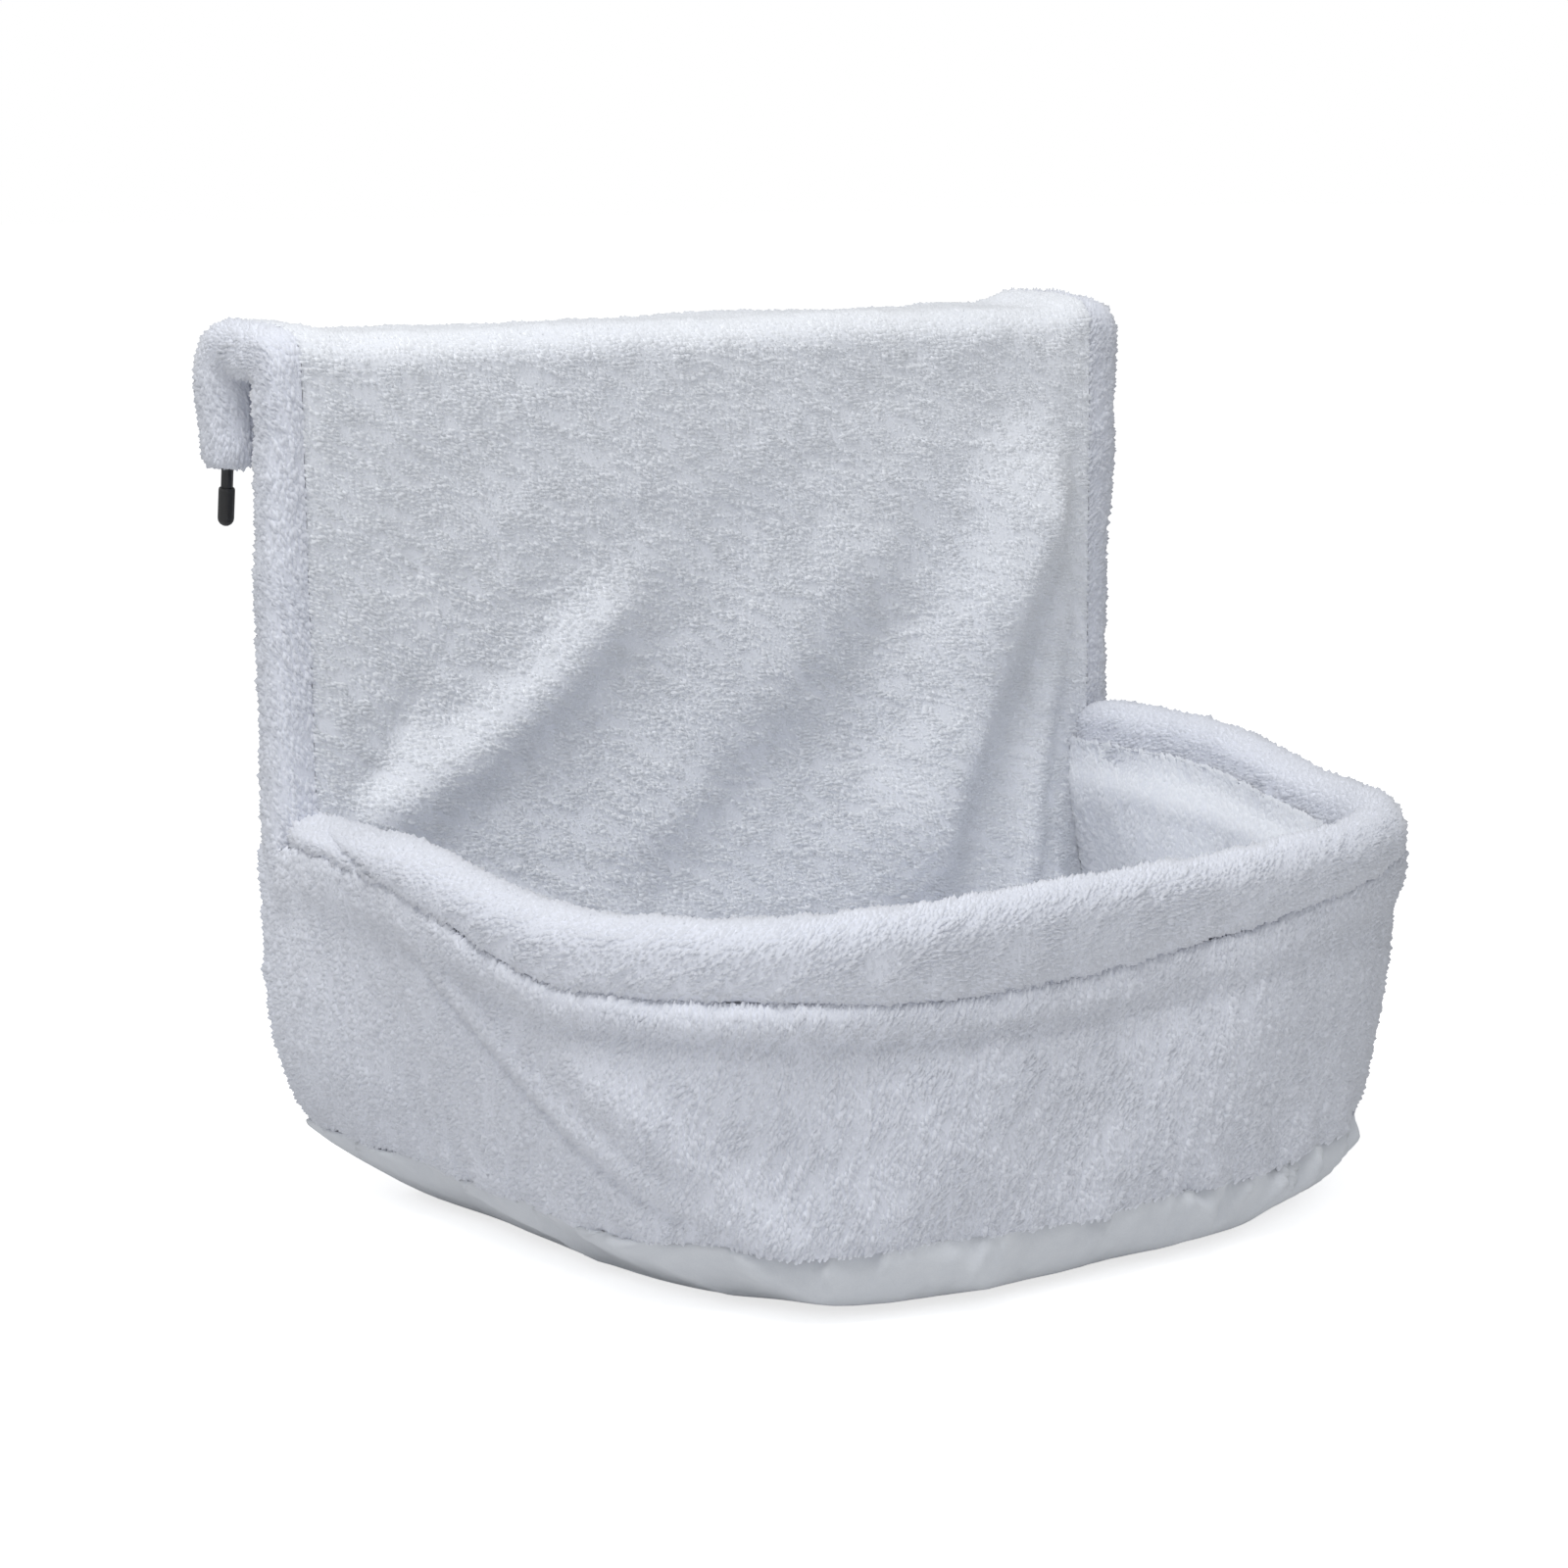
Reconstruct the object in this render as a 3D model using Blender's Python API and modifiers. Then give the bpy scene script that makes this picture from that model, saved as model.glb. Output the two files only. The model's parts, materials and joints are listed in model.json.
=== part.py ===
"""Radiator cat bed: a plush basket on a steel frame that hooks over the top of a radiator.

The frame's two upright tubes carry a bent hoop, which holds the basket open, and two guide tubes,
in which the hook rods slide to suit the depth of the radiator. A plush cover is drawn over the frame.

Metres, +Z up, +Y towards the wall, +X to the right of someone who faces the radiator. The origin is
where the radiator's top edge bears: the middle of the gap between the back cover and the rear flap,
on the underside of the sleeve.
"""

import math

import bmesh
import bpy
import numpy as np

# Clearances and overruns
SEAT_GAP = 0.0003
CLOTH_GAP = 0.0008
CUT_OVERRUN = 0.004
WELD_DISTANCE = 0.00001
ON_FACE_DISTANCE = 0.0001

# Back cover, sleeve and flap
COVER_WIDTH = 0.471
COVER_DEPTH = 0.0225
SLEEVE_HEIGHT = 0.0225
RADIATOR_GAP = 0.026
FLAP_DEPTH = 0.036
FLAP_DROP = 0.037
FLAP_SHOULDER_RADIUS = 0.024
FLAP_OUTER_LAYER = 0.0115
FLAP_HEM_RADIUS = 0.007
EDGE_ROLL = 0.012
EDGE_ROUNDING = 0.0055
TOP_RADIUS = 0.0095
SEAT_FILLET = 0.004
TOP_SAG = 0.0055
TOP_SAG_SHARES = (0.06, 0.40)

# Frame
TUBE_DIAMETER = 0.009
TUBE_BORE = 0.0066
BAR_DIAMETER = 0.006
UPRIGHT_FOOT_RISE = 0.055
LOWER_BAR_RISE = 0.014
UPPER_BAR_DROP = 0.012
SOCKET_LENGTH = 0.022
PLUG_SHANK = 0.010
PLUG_HEAD = 0.002

# Hook rods
HOOK_ROD_DIAMETER = 0.0055
HOOK_BEND_RADIUS = 0.008
HOOK_TIP_DROP = 0.030
HOOK_FLARE = 0.0045
HOOK_CAP_DIAMETER = 0.0075
HOOK_CAP_LENGTH = 0.0175
HOOK_CAP_DEPTH = 0.0125

# Clamp screws and hoop screws
SCREW_DIAMETER = 0.004
SCREW_PLACE = 0.004
KNOB_DIAMETER = 0.0088
KNOB_LENGTH = 0.0055
KNOB_KNURL_DEPTH = 0.0004
KNOB_KNURLS = 14
POINTS_PER_KNURL = 4
SCREW_HEAD_DIAMETER = 0.0068
SCREW_HEAD_HEIGHT = 0.0022
SCREW_SLOT_WIDTH = 0.001
SCREW_SLOT_DEPTH = 0.0009
SCREW_PLACE_SHARE = 0.62
SCREW_TOP_SHARE = 0.7

# Rim of the basket: the hoop's centre line, and the plush channel round it
RIM_OUTSET = 0.00725
RIM_REACH = 0.277
RIM_SIDE_POWER = 4.1
RIM_FRONT_POWER = 3.5
RIM_PINCH_REACH = 0.080
RIM_DROP = 0.181
RIM_DIP = 0.020
RIM_DIP_SHARES = (0.25, 0.72)
RIM_MIDDLE_DIP_SHARE = 0.75
RIM_SIDE_DIP_SHARE = 0.12
RIM_ROLL_DIAMETER = 0.026
HOOP_DIAMETER = 0.006

# Basket walls and base
WALL_LAYER = 0.006
WALL_HEIGHT = 0.150
WALL_OUTSET = 0.004
WALL_FRONT_OUTSET = 0.006
SEAM_INSET = 0.023
SEAM_REAR_INSET = 0.0155
SEAM_FRONT_OUTSET = 0.021
SEAM_SIDE_POWER = 2.8
SEAM_FRONT_POWER = 4.6
SIDE_TAPER_REACH = 0.090
FOOT_TAPER_POWER = 4.5
BASE_BULGE = 0.030
BASE_FULLNESS_POWER = 1.4
BASE_FLAT_SHARE = 0.86
BASE_CLOTH = 0.0025
BOARD_THICKNESS = 0.004
PAD_THICKNESS = 0.020
PAD_EDGE_DROP = 0.007
WALL_CREASE = 0.004
CREASE_WAVES = 7
CREASE_DRIFT_SHARE = 0.35
LEFT_FOLD_PLACE_SHARE = 0.20
LEFT_FOLD_DRIFT_SHARE = 0.12
LEFT_FOLD_WIDTH_SHARE = 0.022
LEFT_FOLD_START_SHARES = (0.1, 0.5)
CREASE_END_SHARE = 0.08

# Folds of the front panel
FOLD_HEIGHT = 0.0075
FOLD_WIDTH = 0.018
FOLD_EDGE_SHARES = (0.085, 0.25)
FOLD_TOP_SHARE = 0.10
FOLD_FOOT_SHARE = 0.12
FOLD_END_SHARES = (-0.3, 0.5)

# Zip at the foot of the rear cloth
ZIP_FOOT_RISE = 0.034
ZIP_END_MARGIN = 0.0395
ZIP_TAPE_WIDTH = 0.022
ZIP_TAPE_THICKNESS = 0.0008
ZIP_CHAIN_WIDTH = 0.005
ZIP_CHAIN_THICKNESS = 0.0011
SLIDER_LENGTH = 0.0105
SLIDER_WIDTH = 0.0085
SLIDER_THICKNESS = 0.0022
SLIDER_END_MARGIN = 0.008
BRIDGE_WIRE = 0.0012
BRIDGE_HALF_SPAN = 0.0036
BRIDGE_HEIGHT = 0.0030
PULL_LENGTH = 0.024
PULL_WIDTH = 0.0060
PULL_THICKNESS = 0.0010
PULL_PIVOT_BAR = 0.0012
PULL_WINDOW_LENGTH = 0.0056
PULL_SIDE = 0.0013
PULL_TIP_SHARE = 0.8

# Places worked out from the sizes
REAR_Y = -RADIATOR_GAP / 2
FRONT_Y = REAR_Y - COVER_DEPTH
FLAP_IN_Y = RADIATOR_GAP / 2
FLAP_OUT_Y = FLAP_IN_Y + FLAP_DEPTH
TOP_Z = SLEEVE_HEIGHT
GUIDE_Z = SLEEVE_HEIGHT / 2
LAYER = (min(COVER_DEPTH, SLEEVE_HEIGHT) - TUBE_DIAMETER) / 2 - SEAT_GAP
UPRIGHT_X = COVER_WIDTH / 2 - LAYER - SEAT_GAP - TUBE_DIAMETER / 2
UPRIGHT_Y = REAR_Y - COVER_DEPTH / 2
SEAM_X = COVER_WIDTH / 2 - EDGE_ROLL
HOOK_LEG_Y = FLAP_OUT_Y - FLAP_OUTER_LAYER - SEAT_GAP - HOOK_ROD_DIAMETER / 2
GUIDE_FRONT_Y = FRONT_Y + TOP_RADIUS
GUIDE_REAR_Y = HOOK_LEG_Y - HOOK_BEND_RADIUS - SEAT_GAP
HOOK_DROP = FLAP_DROP + HOOK_TIP_DROP
SEAM_DROP = RIM_DROP + WALL_HEIGHT
UPRIGHT_DROP = SEAM_DROP - UPRIGHT_FOOT_RISE
RIM_HALF_WIDTH = UPRIGHT_X + RIM_OUTSET
WALL_TOP_HALF_WIDTH = COVER_WIDTH / 2 + WALL_OUTSET
WALL_TOP_REACH = RIM_REACH + WALL_FRONT_OUTSET
SEAM_HALF_WIDTH = COVER_WIDTH / 2 - SEAM_INSET
SEAM_REAR_HALF_WIDTH = COVER_WIDTH / 2 - SEAM_REAR_INSET
SEAM_REACH = RIM_REACH + SEAM_FRONT_OUTSET
ZIP_DROP = SEAM_DROP - ZIP_FOOT_RISE
ZIP_LENGTH = COVER_WIDTH - 2 * ZIP_END_MARGIN
ROLL_RADIUS = RIM_ROLL_DIAMETER / 2
SOCKET_Z = -RIM_DROP - ROLL_RADIUS
SOCKET_REAR_Y = UPRIGHT_Y - TUBE_DIAMETER / 2 - SEAT_GAP
SOCKET_FRONT_Y = SOCKET_REAR_Y - SOCKET_LENGTH
SOCKET_SCREW_Y = SOCKET_REAR_Y - SOCKET_LENGTH * SCREW_PLACE_SHARE
WALL_TOP_DROP = ROLL_RADIUS + 2 * CLOTH_GAP
GUSSET_FOOT_Z = SOCKET_Z - WALL_TOP_DROP + SEAT_GAP
PLAN_STEPS = 400
WALL_ROWS = 8
WALL_COLUMNS = 61
PANEL_ROWS = 10
CORNER_TURNS = 13
SIDES = (("left", -1), ("right", 1))


# Scene, materials and mesh helpers


def clear_scene():
    """Removes what the opened file holds, so that only the bed is in it."""
    for obj in list(bpy.data.objects):
        bpy.data.objects.remove(obj)


def collection(name):
    """A new collection, linked to the scene."""
    made = bpy.data.collections.new(name)
    bpy.context.scene.collection.children.link(made)
    return made


def finish(name, colour, roughness, metallic=0.0):
    """A plain Principled material."""
    made = bpy.data.materials.new(name)
    made.use_nodes = True
    shader = made.node_tree.nodes["Principled BSDF"]
    shader.inputs["Base Color"].default_value = (*colour, 1.0)
    shader.inputs["Roughness"].default_value = roughness
    shader.inputs["Metallic"].default_value = metallic
    made.diffuse_color = (*colour, 1.0)
    return made


def add_piece(name, mesh, material):
    """Puts a mesh in the bed's collection as a named piece."""
    piece = bpy.data.objects.new(name, mesh)
    mesh.materials.clear()
    mesh.materials.append(material)
    PARTS.objects.link(piece)
    return piece


def as_cutter(obj):
    """Makes an object a hidden wire helper."""
    for owner in list(obj.users_collection):
        owner.objects.unlink(obj)
    CUTTERS.objects.link(obj)
    obj.hide_render = True
    obj.display_type = "WIRE"
    return obj


def cut(piece, cutter, operation="DIFFERENCE"):
    """Adds a Boolean to the piece. The cutter is kept as a helper."""
    modifier = piece.modifiers.new("cut_" + cutter.name, "BOOLEAN")
    modifier.operation = operation
    modifier.object = as_cutter(cutter)


def mesh_of(obj, name):
    """A welded mesh of a curve object, in the object's own frame. The curve is removed."""
    bpy.context.view_layer.update()
    graph = bpy.context.evaluated_depsgraph_get()
    mesh = bpy.data.meshes.new_from_object(obj.evaluated_get(graph))
    mesh.name = name
    shape = bmesh.new()
    shape.from_mesh(mesh)
    bmesh.ops.remove_doubles(shape, verts=shape.verts, dist=WELD_DISTANCE)
    bmesh.ops.recalc_face_normals(shape, faces=shape.faces)
    shape.to_mesh(mesh)
    shape.free()
    bpy.data.objects.remove(obj)
    return mesh


def tube(name, points, diameter, material, resolution=2, caps=True):
    """A round bar along a line of points, as a mesh piece."""
    data = bpy.data.curves.new(name, "CURVE")
    data.dimensions = "3D"
    data.bevel_depth = diameter / 2
    data.bevel_resolution = resolution
    data.use_fill_caps = caps
    spline = data.splines.new("POLY")
    spline.points.add(len(points) - 1)
    for target, point in zip(spline.points, points):
        target.co = (*point, 1.0)
    curve = bpy.data.objects.new(name, data)
    PARTS.objects.link(curve)
    piece = add_piece(name, mesh_of(curve, name), material)
    piece.data.shade_smooth()
    return piece


def flat_outline(name, outline, low, high, material, plane="YZ"):
    """A flat outline made thick: drawn in Y and Z and thick along X, or drawn in X and Y and thick along Z."""
    data = bpy.data.curves.new(name, "CURVE")
    data.dimensions = "2D"
    data.fill_mode = "BOTH"
    data.extrude = (high - low) / 2
    spline = data.splines.new("POLY")
    spline.points.add(len(outline) - 1)
    for target, (across, up) in zip(spline.points, outline):
        target.co = (across, up, 0.0, 1.0)
    spline.use_cyclic_u = True
    curve = bpy.data.objects.new(name, data)
    PARTS.objects.link(curve)
    piece = add_piece(name, mesh_of(curve, name), material)
    middle = (high + low) / 2
    if plane == "YZ":
        piece.rotation_euler = (math.pi / 2, 0.0, math.pi / 2)
        piece.location = (middle, 0.0, 0.0)
    else:
        piece.location = (0.0, 0.0, middle)
    return piece


def turned(name, profile, material, steps=20):
    """A turned shape about its own Z axis. The profile's points are (radius, height), down the outer side."""
    mesh = bpy.data.meshes.new(name)
    count = len(profile)
    closed = profile[0][0] > 0 and profile[-1][0] > 0
    edges = [(i, i + 1) for i in range(count - 1)] + ([(count - 1, 0)] if closed else [])
    mesh.from_pydata([(radius, 0.0, height) for radius, height in profile], edges, [])
    piece = add_piece(name, mesh, material)
    screw = piece.modifiers.new("turn", "SCREW")
    screw.axis = "Z"
    screw.steps = steps
    screw.render_steps = steps
    screw.use_merge_vertices = True
    screw.merge_threshold = WELD_DISTANCE
    screw.use_smooth_shade = False
    return piece


def aim(piece, place, axis):
    """Turns a piece's own +Z to the named axis and puts its origin at the place."""
    turns = {
        "+X": (0.0, math.pi / 2, 0.0),
        "-X": (0.0, -math.pi / 2, 0.0),
        "+Y": (-math.pi / 2, 0.0, 0.0),
        "-Y": (math.pi / 2, 0.0, 0.0),
        "+Z": (0.0, 0.0, 0.0),
        "-Z": (math.pi, 0.0, 0.0),
    }
    piece.rotation_euler = turns[axis]
    piece.location = place
    return piece


def pipe(name, outer, bore, length, material, steps=20):
    """An open tube from its origin up its own Z axis."""
    profile = [(outer / 2, length), (outer / 2, 0.0), (bore / 2, 0.0), (bore / 2, length)]
    return turned(name, profile, material, steps)


def rod(name, diameter, length, material, steps=16):
    """A plain round bar from its origin up its own Z axis."""
    return turned(name, [(0.0, length), (diameter / 2, length), (diameter / 2, 0.0), (0.0, 0.0)], material, steps)


def cloth(name, grid, thickness, material):
    """A layer of cloth: the open surface through a grid of points, thickened on the side away from its faces."""
    rows, columns = len(grid), len(grid[0])
    points = [tuple(point) for row in grid for point in row]
    faces = [
        (i * columns + j, i * columns + j + 1, (i + 1) * columns + j + 1, (i + 1) * columns + j)
        for i in range(rows - 1)
        for j in range(columns - 1)
    ]
    mesh = bpy.data.meshes.new(name)
    mesh.from_pydata(points, [], faces)
    piece = add_piece(name, mesh, material)
    layer = piece.modifiers.new("layer", "SOLIDIFY")
    layer.thickness = thickness
    layer.offset = -1.0
    layer.use_even_offset = True
    layer.use_quality_normals = True
    return piece


def smooth(low, high, value):
    """0 below low, 1 above high, and a smooth step between."""
    share = min(1.0, max(0.0, (value - low) / (high - low)))
    return share * share * (3 - 2 * share)


def arc(centre, radius, start, end, count):
    """Points on an arc in a plane, from the start angle to the end angle in degrees."""
    angles = np.radians(np.linspace(start, end, count))
    return [(centre[0] + radius * math.cos(a), centre[1] + radius * math.sin(a)) for a in angles]


# Outline of the basket seen from above


def basket_plan(half_width, reach, side_power, front_power, count, rear_run=0.0):
    """Even points along a D seen from above, from the left rear round the front to the right rear."""
    shares = np.sin(np.linspace(0.0, math.pi / 2, PLAN_STEPS))
    x = half_width * np.clip(1 - shares**front_power, 0, 1) ** (1 / side_power)
    y = FRONT_Y - reach * shares
    if rear_run:
        x = np.concatenate([[half_width], x])
        y = np.concatenate([[FRONT_Y + rear_run], y])
    across = np.concatenate([-x, x[::-1][1:]])
    along = np.concatenate([y, y[::-1][1:]])
    steps = np.hypot(np.diff(across), np.diff(along))
    run = np.concatenate([[0.0], np.cumsum(steps)])
    even = np.linspace(0.0, run[-1], count)
    return np.stack([np.interp(even, run, across), np.interp(even, run, along)], axis=1)


def outward(plan):
    """The unit vectors that point out of a plan curve, one for each of its points."""
    along = np.gradient(plan, axis=0)
    out = np.stack([along[:, 1], -along[:, 0]], axis=1)
    return out / np.linalg.norm(out, axis=1)[:, None]


def rim_centre(x, y):
    """Height of the hoop's centre line over a point of its plan: it dips to the front, and most on the left."""
    forward = smooth(*RIM_DIP_SHARES, (FRONT_Y - y) / RIM_REACH)
    dip_share = RIM_MIDDLE_DIP_SHARE - RIM_SIDE_DIP_SHARE * x / RIM_HALF_WIDTH
    return SOCKET_Z - RIM_DIP * forward * dip_share


def rim_line(count):
    """The hoop's centre line in front of the sockets, drawn in at the rear to meet them."""
    plan = basket_plan(RIM_HALF_WIDTH, RIM_REACH, RIM_SIDE_POWER, RIM_FRONT_POWER, count)
    points = []
    for x, y in plan:
        drawn_in = (RIM_HALF_WIDTH - UPRIGHT_X) * (
            1 - smooth(FRONT_Y - SOCKET_FRONT_Y, RIM_PINCH_REACH, FRONT_Y - y)
        )
        points.append((x - math.copysign(drawn_in, x), y, rim_centre(x, y)))
    return points


def wall_plans(count):
    """Plan curves of the outer wall's face: under the rim, and at the base's seam, which flares at the rear."""
    top = basket_plan(WALL_TOP_HALF_WIDTH, WALL_TOP_REACH, RIM_SIDE_POWER, RIM_FRONT_POWER, count, COVER_DEPTH)
    seam = basket_plan(SEAM_HALF_WIDTH, SEAM_REACH, SEAM_SIDE_POWER, SEAM_FRONT_POWER, count, COVER_DEPTH)
    flare = [1 - smooth(0.0, SIDE_TAPER_REACH, FRONT_Y - y) for y in seam[:, 1]]
    seam[:, 0] += np.sign(seam[:, 0]) * (SEAM_REAR_HALF_WIDTH - SEAM_HALF_WIDTH) * np.array(flare)
    return top, seam


def wall_share(down, y):
    """How far the wall has gone from its top plan to its seam plan: late beside the frame, evenly in front."""
    in_front = smooth(0.0, SIDE_TAPER_REACH, FRONT_Y - y)
    return down * in_front + max(0.0, down) ** FOOT_TAPER_POWER * (1 - in_front)


def wall_crease(share, down):
    """Outward swell of the wall between its slack places, as shares of the crease's height."""
    wave = 1 + math.cos(2 * math.pi * (CREASE_WAVES * share + CREASE_DRIFT_SHARE * down))
    away = (share - LEFT_FOLD_PLACE_SHARE - LEFT_FOLD_DRIFT_SHARE * down) / LEFT_FOLD_WIDTH_SHARE
    left_fold = math.exp(-(away**2)) * smooth(*LEFT_FOLD_START_SHARES, down)
    ends = smooth(0.0, CREASE_END_SHARE, min(share, 1 - share))
    return (math.sin(math.pi * down) * wave / 2 + left_fold) * ends


def wall_grid():
    """Points of the outer wall's face, from the seam up to the rim and from the left rear to the right rear."""
    top, seam = wall_plans(WALL_COLUMNS)
    out_top, out_seam = outward(top), outward(seam)
    grid = np.zeros((WALL_ROWS, WALL_COLUMNS, 3))
    for i, down in enumerate(np.linspace(1.0, 0.0, WALL_ROWS)):
        for j in range(WALL_COLUMNS):
            share = wall_share(down, top[j][1])
            out = out_top[j] * (1 - share) + out_seam[j] * share
            swell = WALL_CREASE * wall_crease(j / (WALL_COLUMNS - 1), down)
            high = rim_centre(top[j][0], top[j][1]) - WALL_TOP_DROP
            grid[i, j, :2] = top[j] * (1 - share) + seam[j] * share + out * swell
            grid[i, j, 2] = high + (-SEAM_DROP - high) * down
    return grid


def inset_grid(grid, distance):
    """The grid of points moved in by a distance, square to its surface but level by level."""
    normal = np.cross(np.gradient(grid, axis=1), np.gradient(grid, axis=0))
    normal /= np.linalg.norm(normal, axis=2)[:, :, None]
    level = normal[:, :, :2] / (normal[:, :, :2] ** 2).sum(axis=2)[:, :, None]
    moved = grid.copy()
    moved[:, :, :2] -= level * distance
    return moved


def panel_half_width(z):
    """Half the width of the back cover's cloths between the gussets, drawn in with the basket at its foot."""
    clearance = WALL_LAYER + CLOTH_GAP
    half = SEAM_X - SEAT_GAP
    for turn in np.linspace(-math.pi / 2, math.pi / 2, CORNER_TURNS):
        down = (GUSSET_FOOT_Z - z - clearance * math.sin(turn)) / (GUSSET_FOOT_Z + SEAM_DROP)
        wall = WALL_TOP_HALF_WIDTH + (SEAM_REAR_HALF_WIDTH - WALL_TOP_HALF_WIDTH) * wall_share(down, FRONT_Y)
        half = min(half, wall - clearance * math.cos(turn))
    return half


def panel_heights(top):
    """Heights of the rows of a back cover cloth: at its foot they are those of the outer wall's rows."""
    foot = np.linspace(-SEAM_DROP, GUSSET_FOOT_Z - SEAT_GAP, WALL_ROWS)
    return list(foot) + list(np.linspace(foot[-1], top, PANEL_ROWS)[1:])


# Frame


def make_uprights():
    """Two upright tubes, each with a plastic plug in its lower end."""
    top = GUIDE_Z - TUBE_DIAMETER / 2 - SEAT_GAP
    for side, sign in SIDES:
        tube_name = side + "_upright"
        upright = pipe(tube_name, TUBE_DIAMETER, TUBE_BORE, top + UPRIGHT_DROP, STEEL)
        aim(upright, (sign * UPRIGHT_X, UPRIGHT_Y, -UPRIGHT_DROP), "+Z")
        shank = TUBE_BORE / 2 - SEAT_GAP
        rim = TUBE_DIAMETER / 2
        profile = [(0.0, PLUG_SHANK), (shank, PLUG_SHANK), (shank, 0.0), (rim, 0.0), (rim, -PLUG_HEAD / 2)]
        profile += [(rim - PLUG_HEAD / 2, -PLUG_HEAD), (0.0, -PLUG_HEAD)]
        plug = turned(side + "_upright_plug", profile, PLASTIC)
        aim(plug, (sign * UPRIGHT_X, UPRIGHT_Y, -UPRIGHT_DROP - SEAT_GAP), "+Z")


def make_cross_bars():
    """The upper and the lower bar, welded between the uprights."""
    half = UPRIGHT_X - TUBE_DIAMETER / 2 - SEAT_GAP
    heights = {"upper_cross_bar": -UPPER_BAR_DROP, "lower_cross_bar": -UPRIGHT_DROP + LOWER_BAR_RISE}
    for name, z in heights.items():
        aim(rod(name, BAR_DIAMETER, 2 * half, STEEL), (-half, UPRIGHT_Y, z), "+X")


def make_guide_tubes():
    """Guide tubes across the heads of the uprights, each with a hole for its clamp screw."""
    for side, sign in SIDES:
        guide = pipe(side + "_guide_tube", TUBE_DIAMETER, TUBE_BORE, GUIDE_REAR_Y - GUIDE_FRONT_Y, STEEL)
        aim(guide, (sign * UPRIGHT_X, GUIDE_FRONT_Y, GUIDE_Z), "+Y")
        hole = rod(side + "_clamp_hole", SCREW_DIAMETER + 2 * SEAT_GAP, TUBE_DIAMETER, STEEL)
        aim(hole, (sign * UPRIGHT_X, SCREW_PLACE, GUIDE_Z), "-X" if sign > 0 else "+X")
        cut(guide, hole)


def make_clamp_screws():
    """Knurled screws that press on the hook rods from the inboard side."""
    shank_start = HOOK_ROD_DIAMETER / 2 + SEAT_GAP
    knob_start = TUBE_DIAMETER / 2 + CLOTH_GAP
    count = KNOB_KNURLS * POINTS_PER_KNURL
    outline = []
    for i in range(count):
        angle = 2 * math.pi * i / count
        radius = KNOB_DIAMETER / 2
        if i % POINTS_PER_KNURL >= POINTS_PER_KNURL // 2:
            radius -= KNOB_KNURL_DEPTH
        outline.append((radius * math.cos(angle), radius * math.sin(angle)))
    for side, sign in SIDES:
        screw = flat_outline(side + "_clamp_screw", outline, knob_start, knob_start + KNOB_LENGTH, STEEL, "XY")
        screw.data.transform(screw.matrix_basis)
        shank = rod(side + "_clamp_shank", SCREW_DIAMETER, knob_start + KNOB_LENGTH / 2 - shank_start, STEEL)
        for piece in (screw, shank):
            aim(piece, (sign * UPRIGHT_X, SCREW_PLACE, GUIDE_Z), "-X" if sign > 0 else "+X")
        shank.location.x -= sign * shank_start
        cut(screw, shank, "UNION")


def make_hoop():
    """The bent hoop, the sockets on the uprights that hold its ends, and the sockets' screws."""
    line = rim_line(61)
    left_end, right_end = [(sign * UPRIGHT_X, SOCKET_REAR_Y - SEAT_GAP, SOCKET_Z) for _, sign in SIDES]
    tube("rim_hoop", [left_end] + line + [right_end], HOOP_DIAMETER, STEEL, 2)
    for side, sign in SIDES:
        inboard = "-X" if sign > 0 else "+X"
        place = (sign * UPRIGHT_X, SOCKET_SCREW_Y, SOCKET_Z)
        socket = pipe(side + "_hoop_socket", TUBE_DIAMETER, TUBE_BORE, SOCKET_LENGTH, STEEL)
        aim(socket, (sign * UPRIGHT_X, SOCKET_REAR_Y, SOCKET_Z), "-Y")
        hole = rod(side + "_hoop_screw_hole", SCREW_DIAMETER + 2 * SEAT_GAP, TUBE_DIAMETER, STEEL)
        cut(socket, aim(hole, place, inboard))
        tip = HOOP_DIAMETER / 2 + SEAT_GAP
        head = TUBE_DIAMETER / 2 + SEAT_GAP
        top = head + SCREW_HEAD_HEIGHT
        wide = SCREW_HEAD_DIAMETER / 2
        profile = [(0.0, top), (wide * SCREW_TOP_SHARE, top), (wide, top - SCREW_HEAD_HEIGHT / 2), (wide, head)]
        profile += [(SCREW_DIAMETER / 2, head), (SCREW_DIAMETER / 2, tip), (0.0, tip)]
        screw = aim(turned(side + "_hoop_screw", profile, STEEL, 16), place, inboard)
        slot_outline = [(-wide - CUT_OVERRUN, -SCREW_SLOT_WIDTH / 2), (wide + CUT_OVERRUN, -SCREW_SLOT_WIDTH / 2)]
        slot_outline += [(x, -y) for x, y in reversed(slot_outline)]
        slot = flat_outline(
            side + "_hoop_screw_slot", slot_outline, top - SCREW_SLOT_DEPTH, top + CUT_OVERRUN, STEEL, "XY"
        )
        slot.data.transform(slot.matrix_basis)
        cut(screw, aim(slot, place, inboard))


# Hooks


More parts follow.
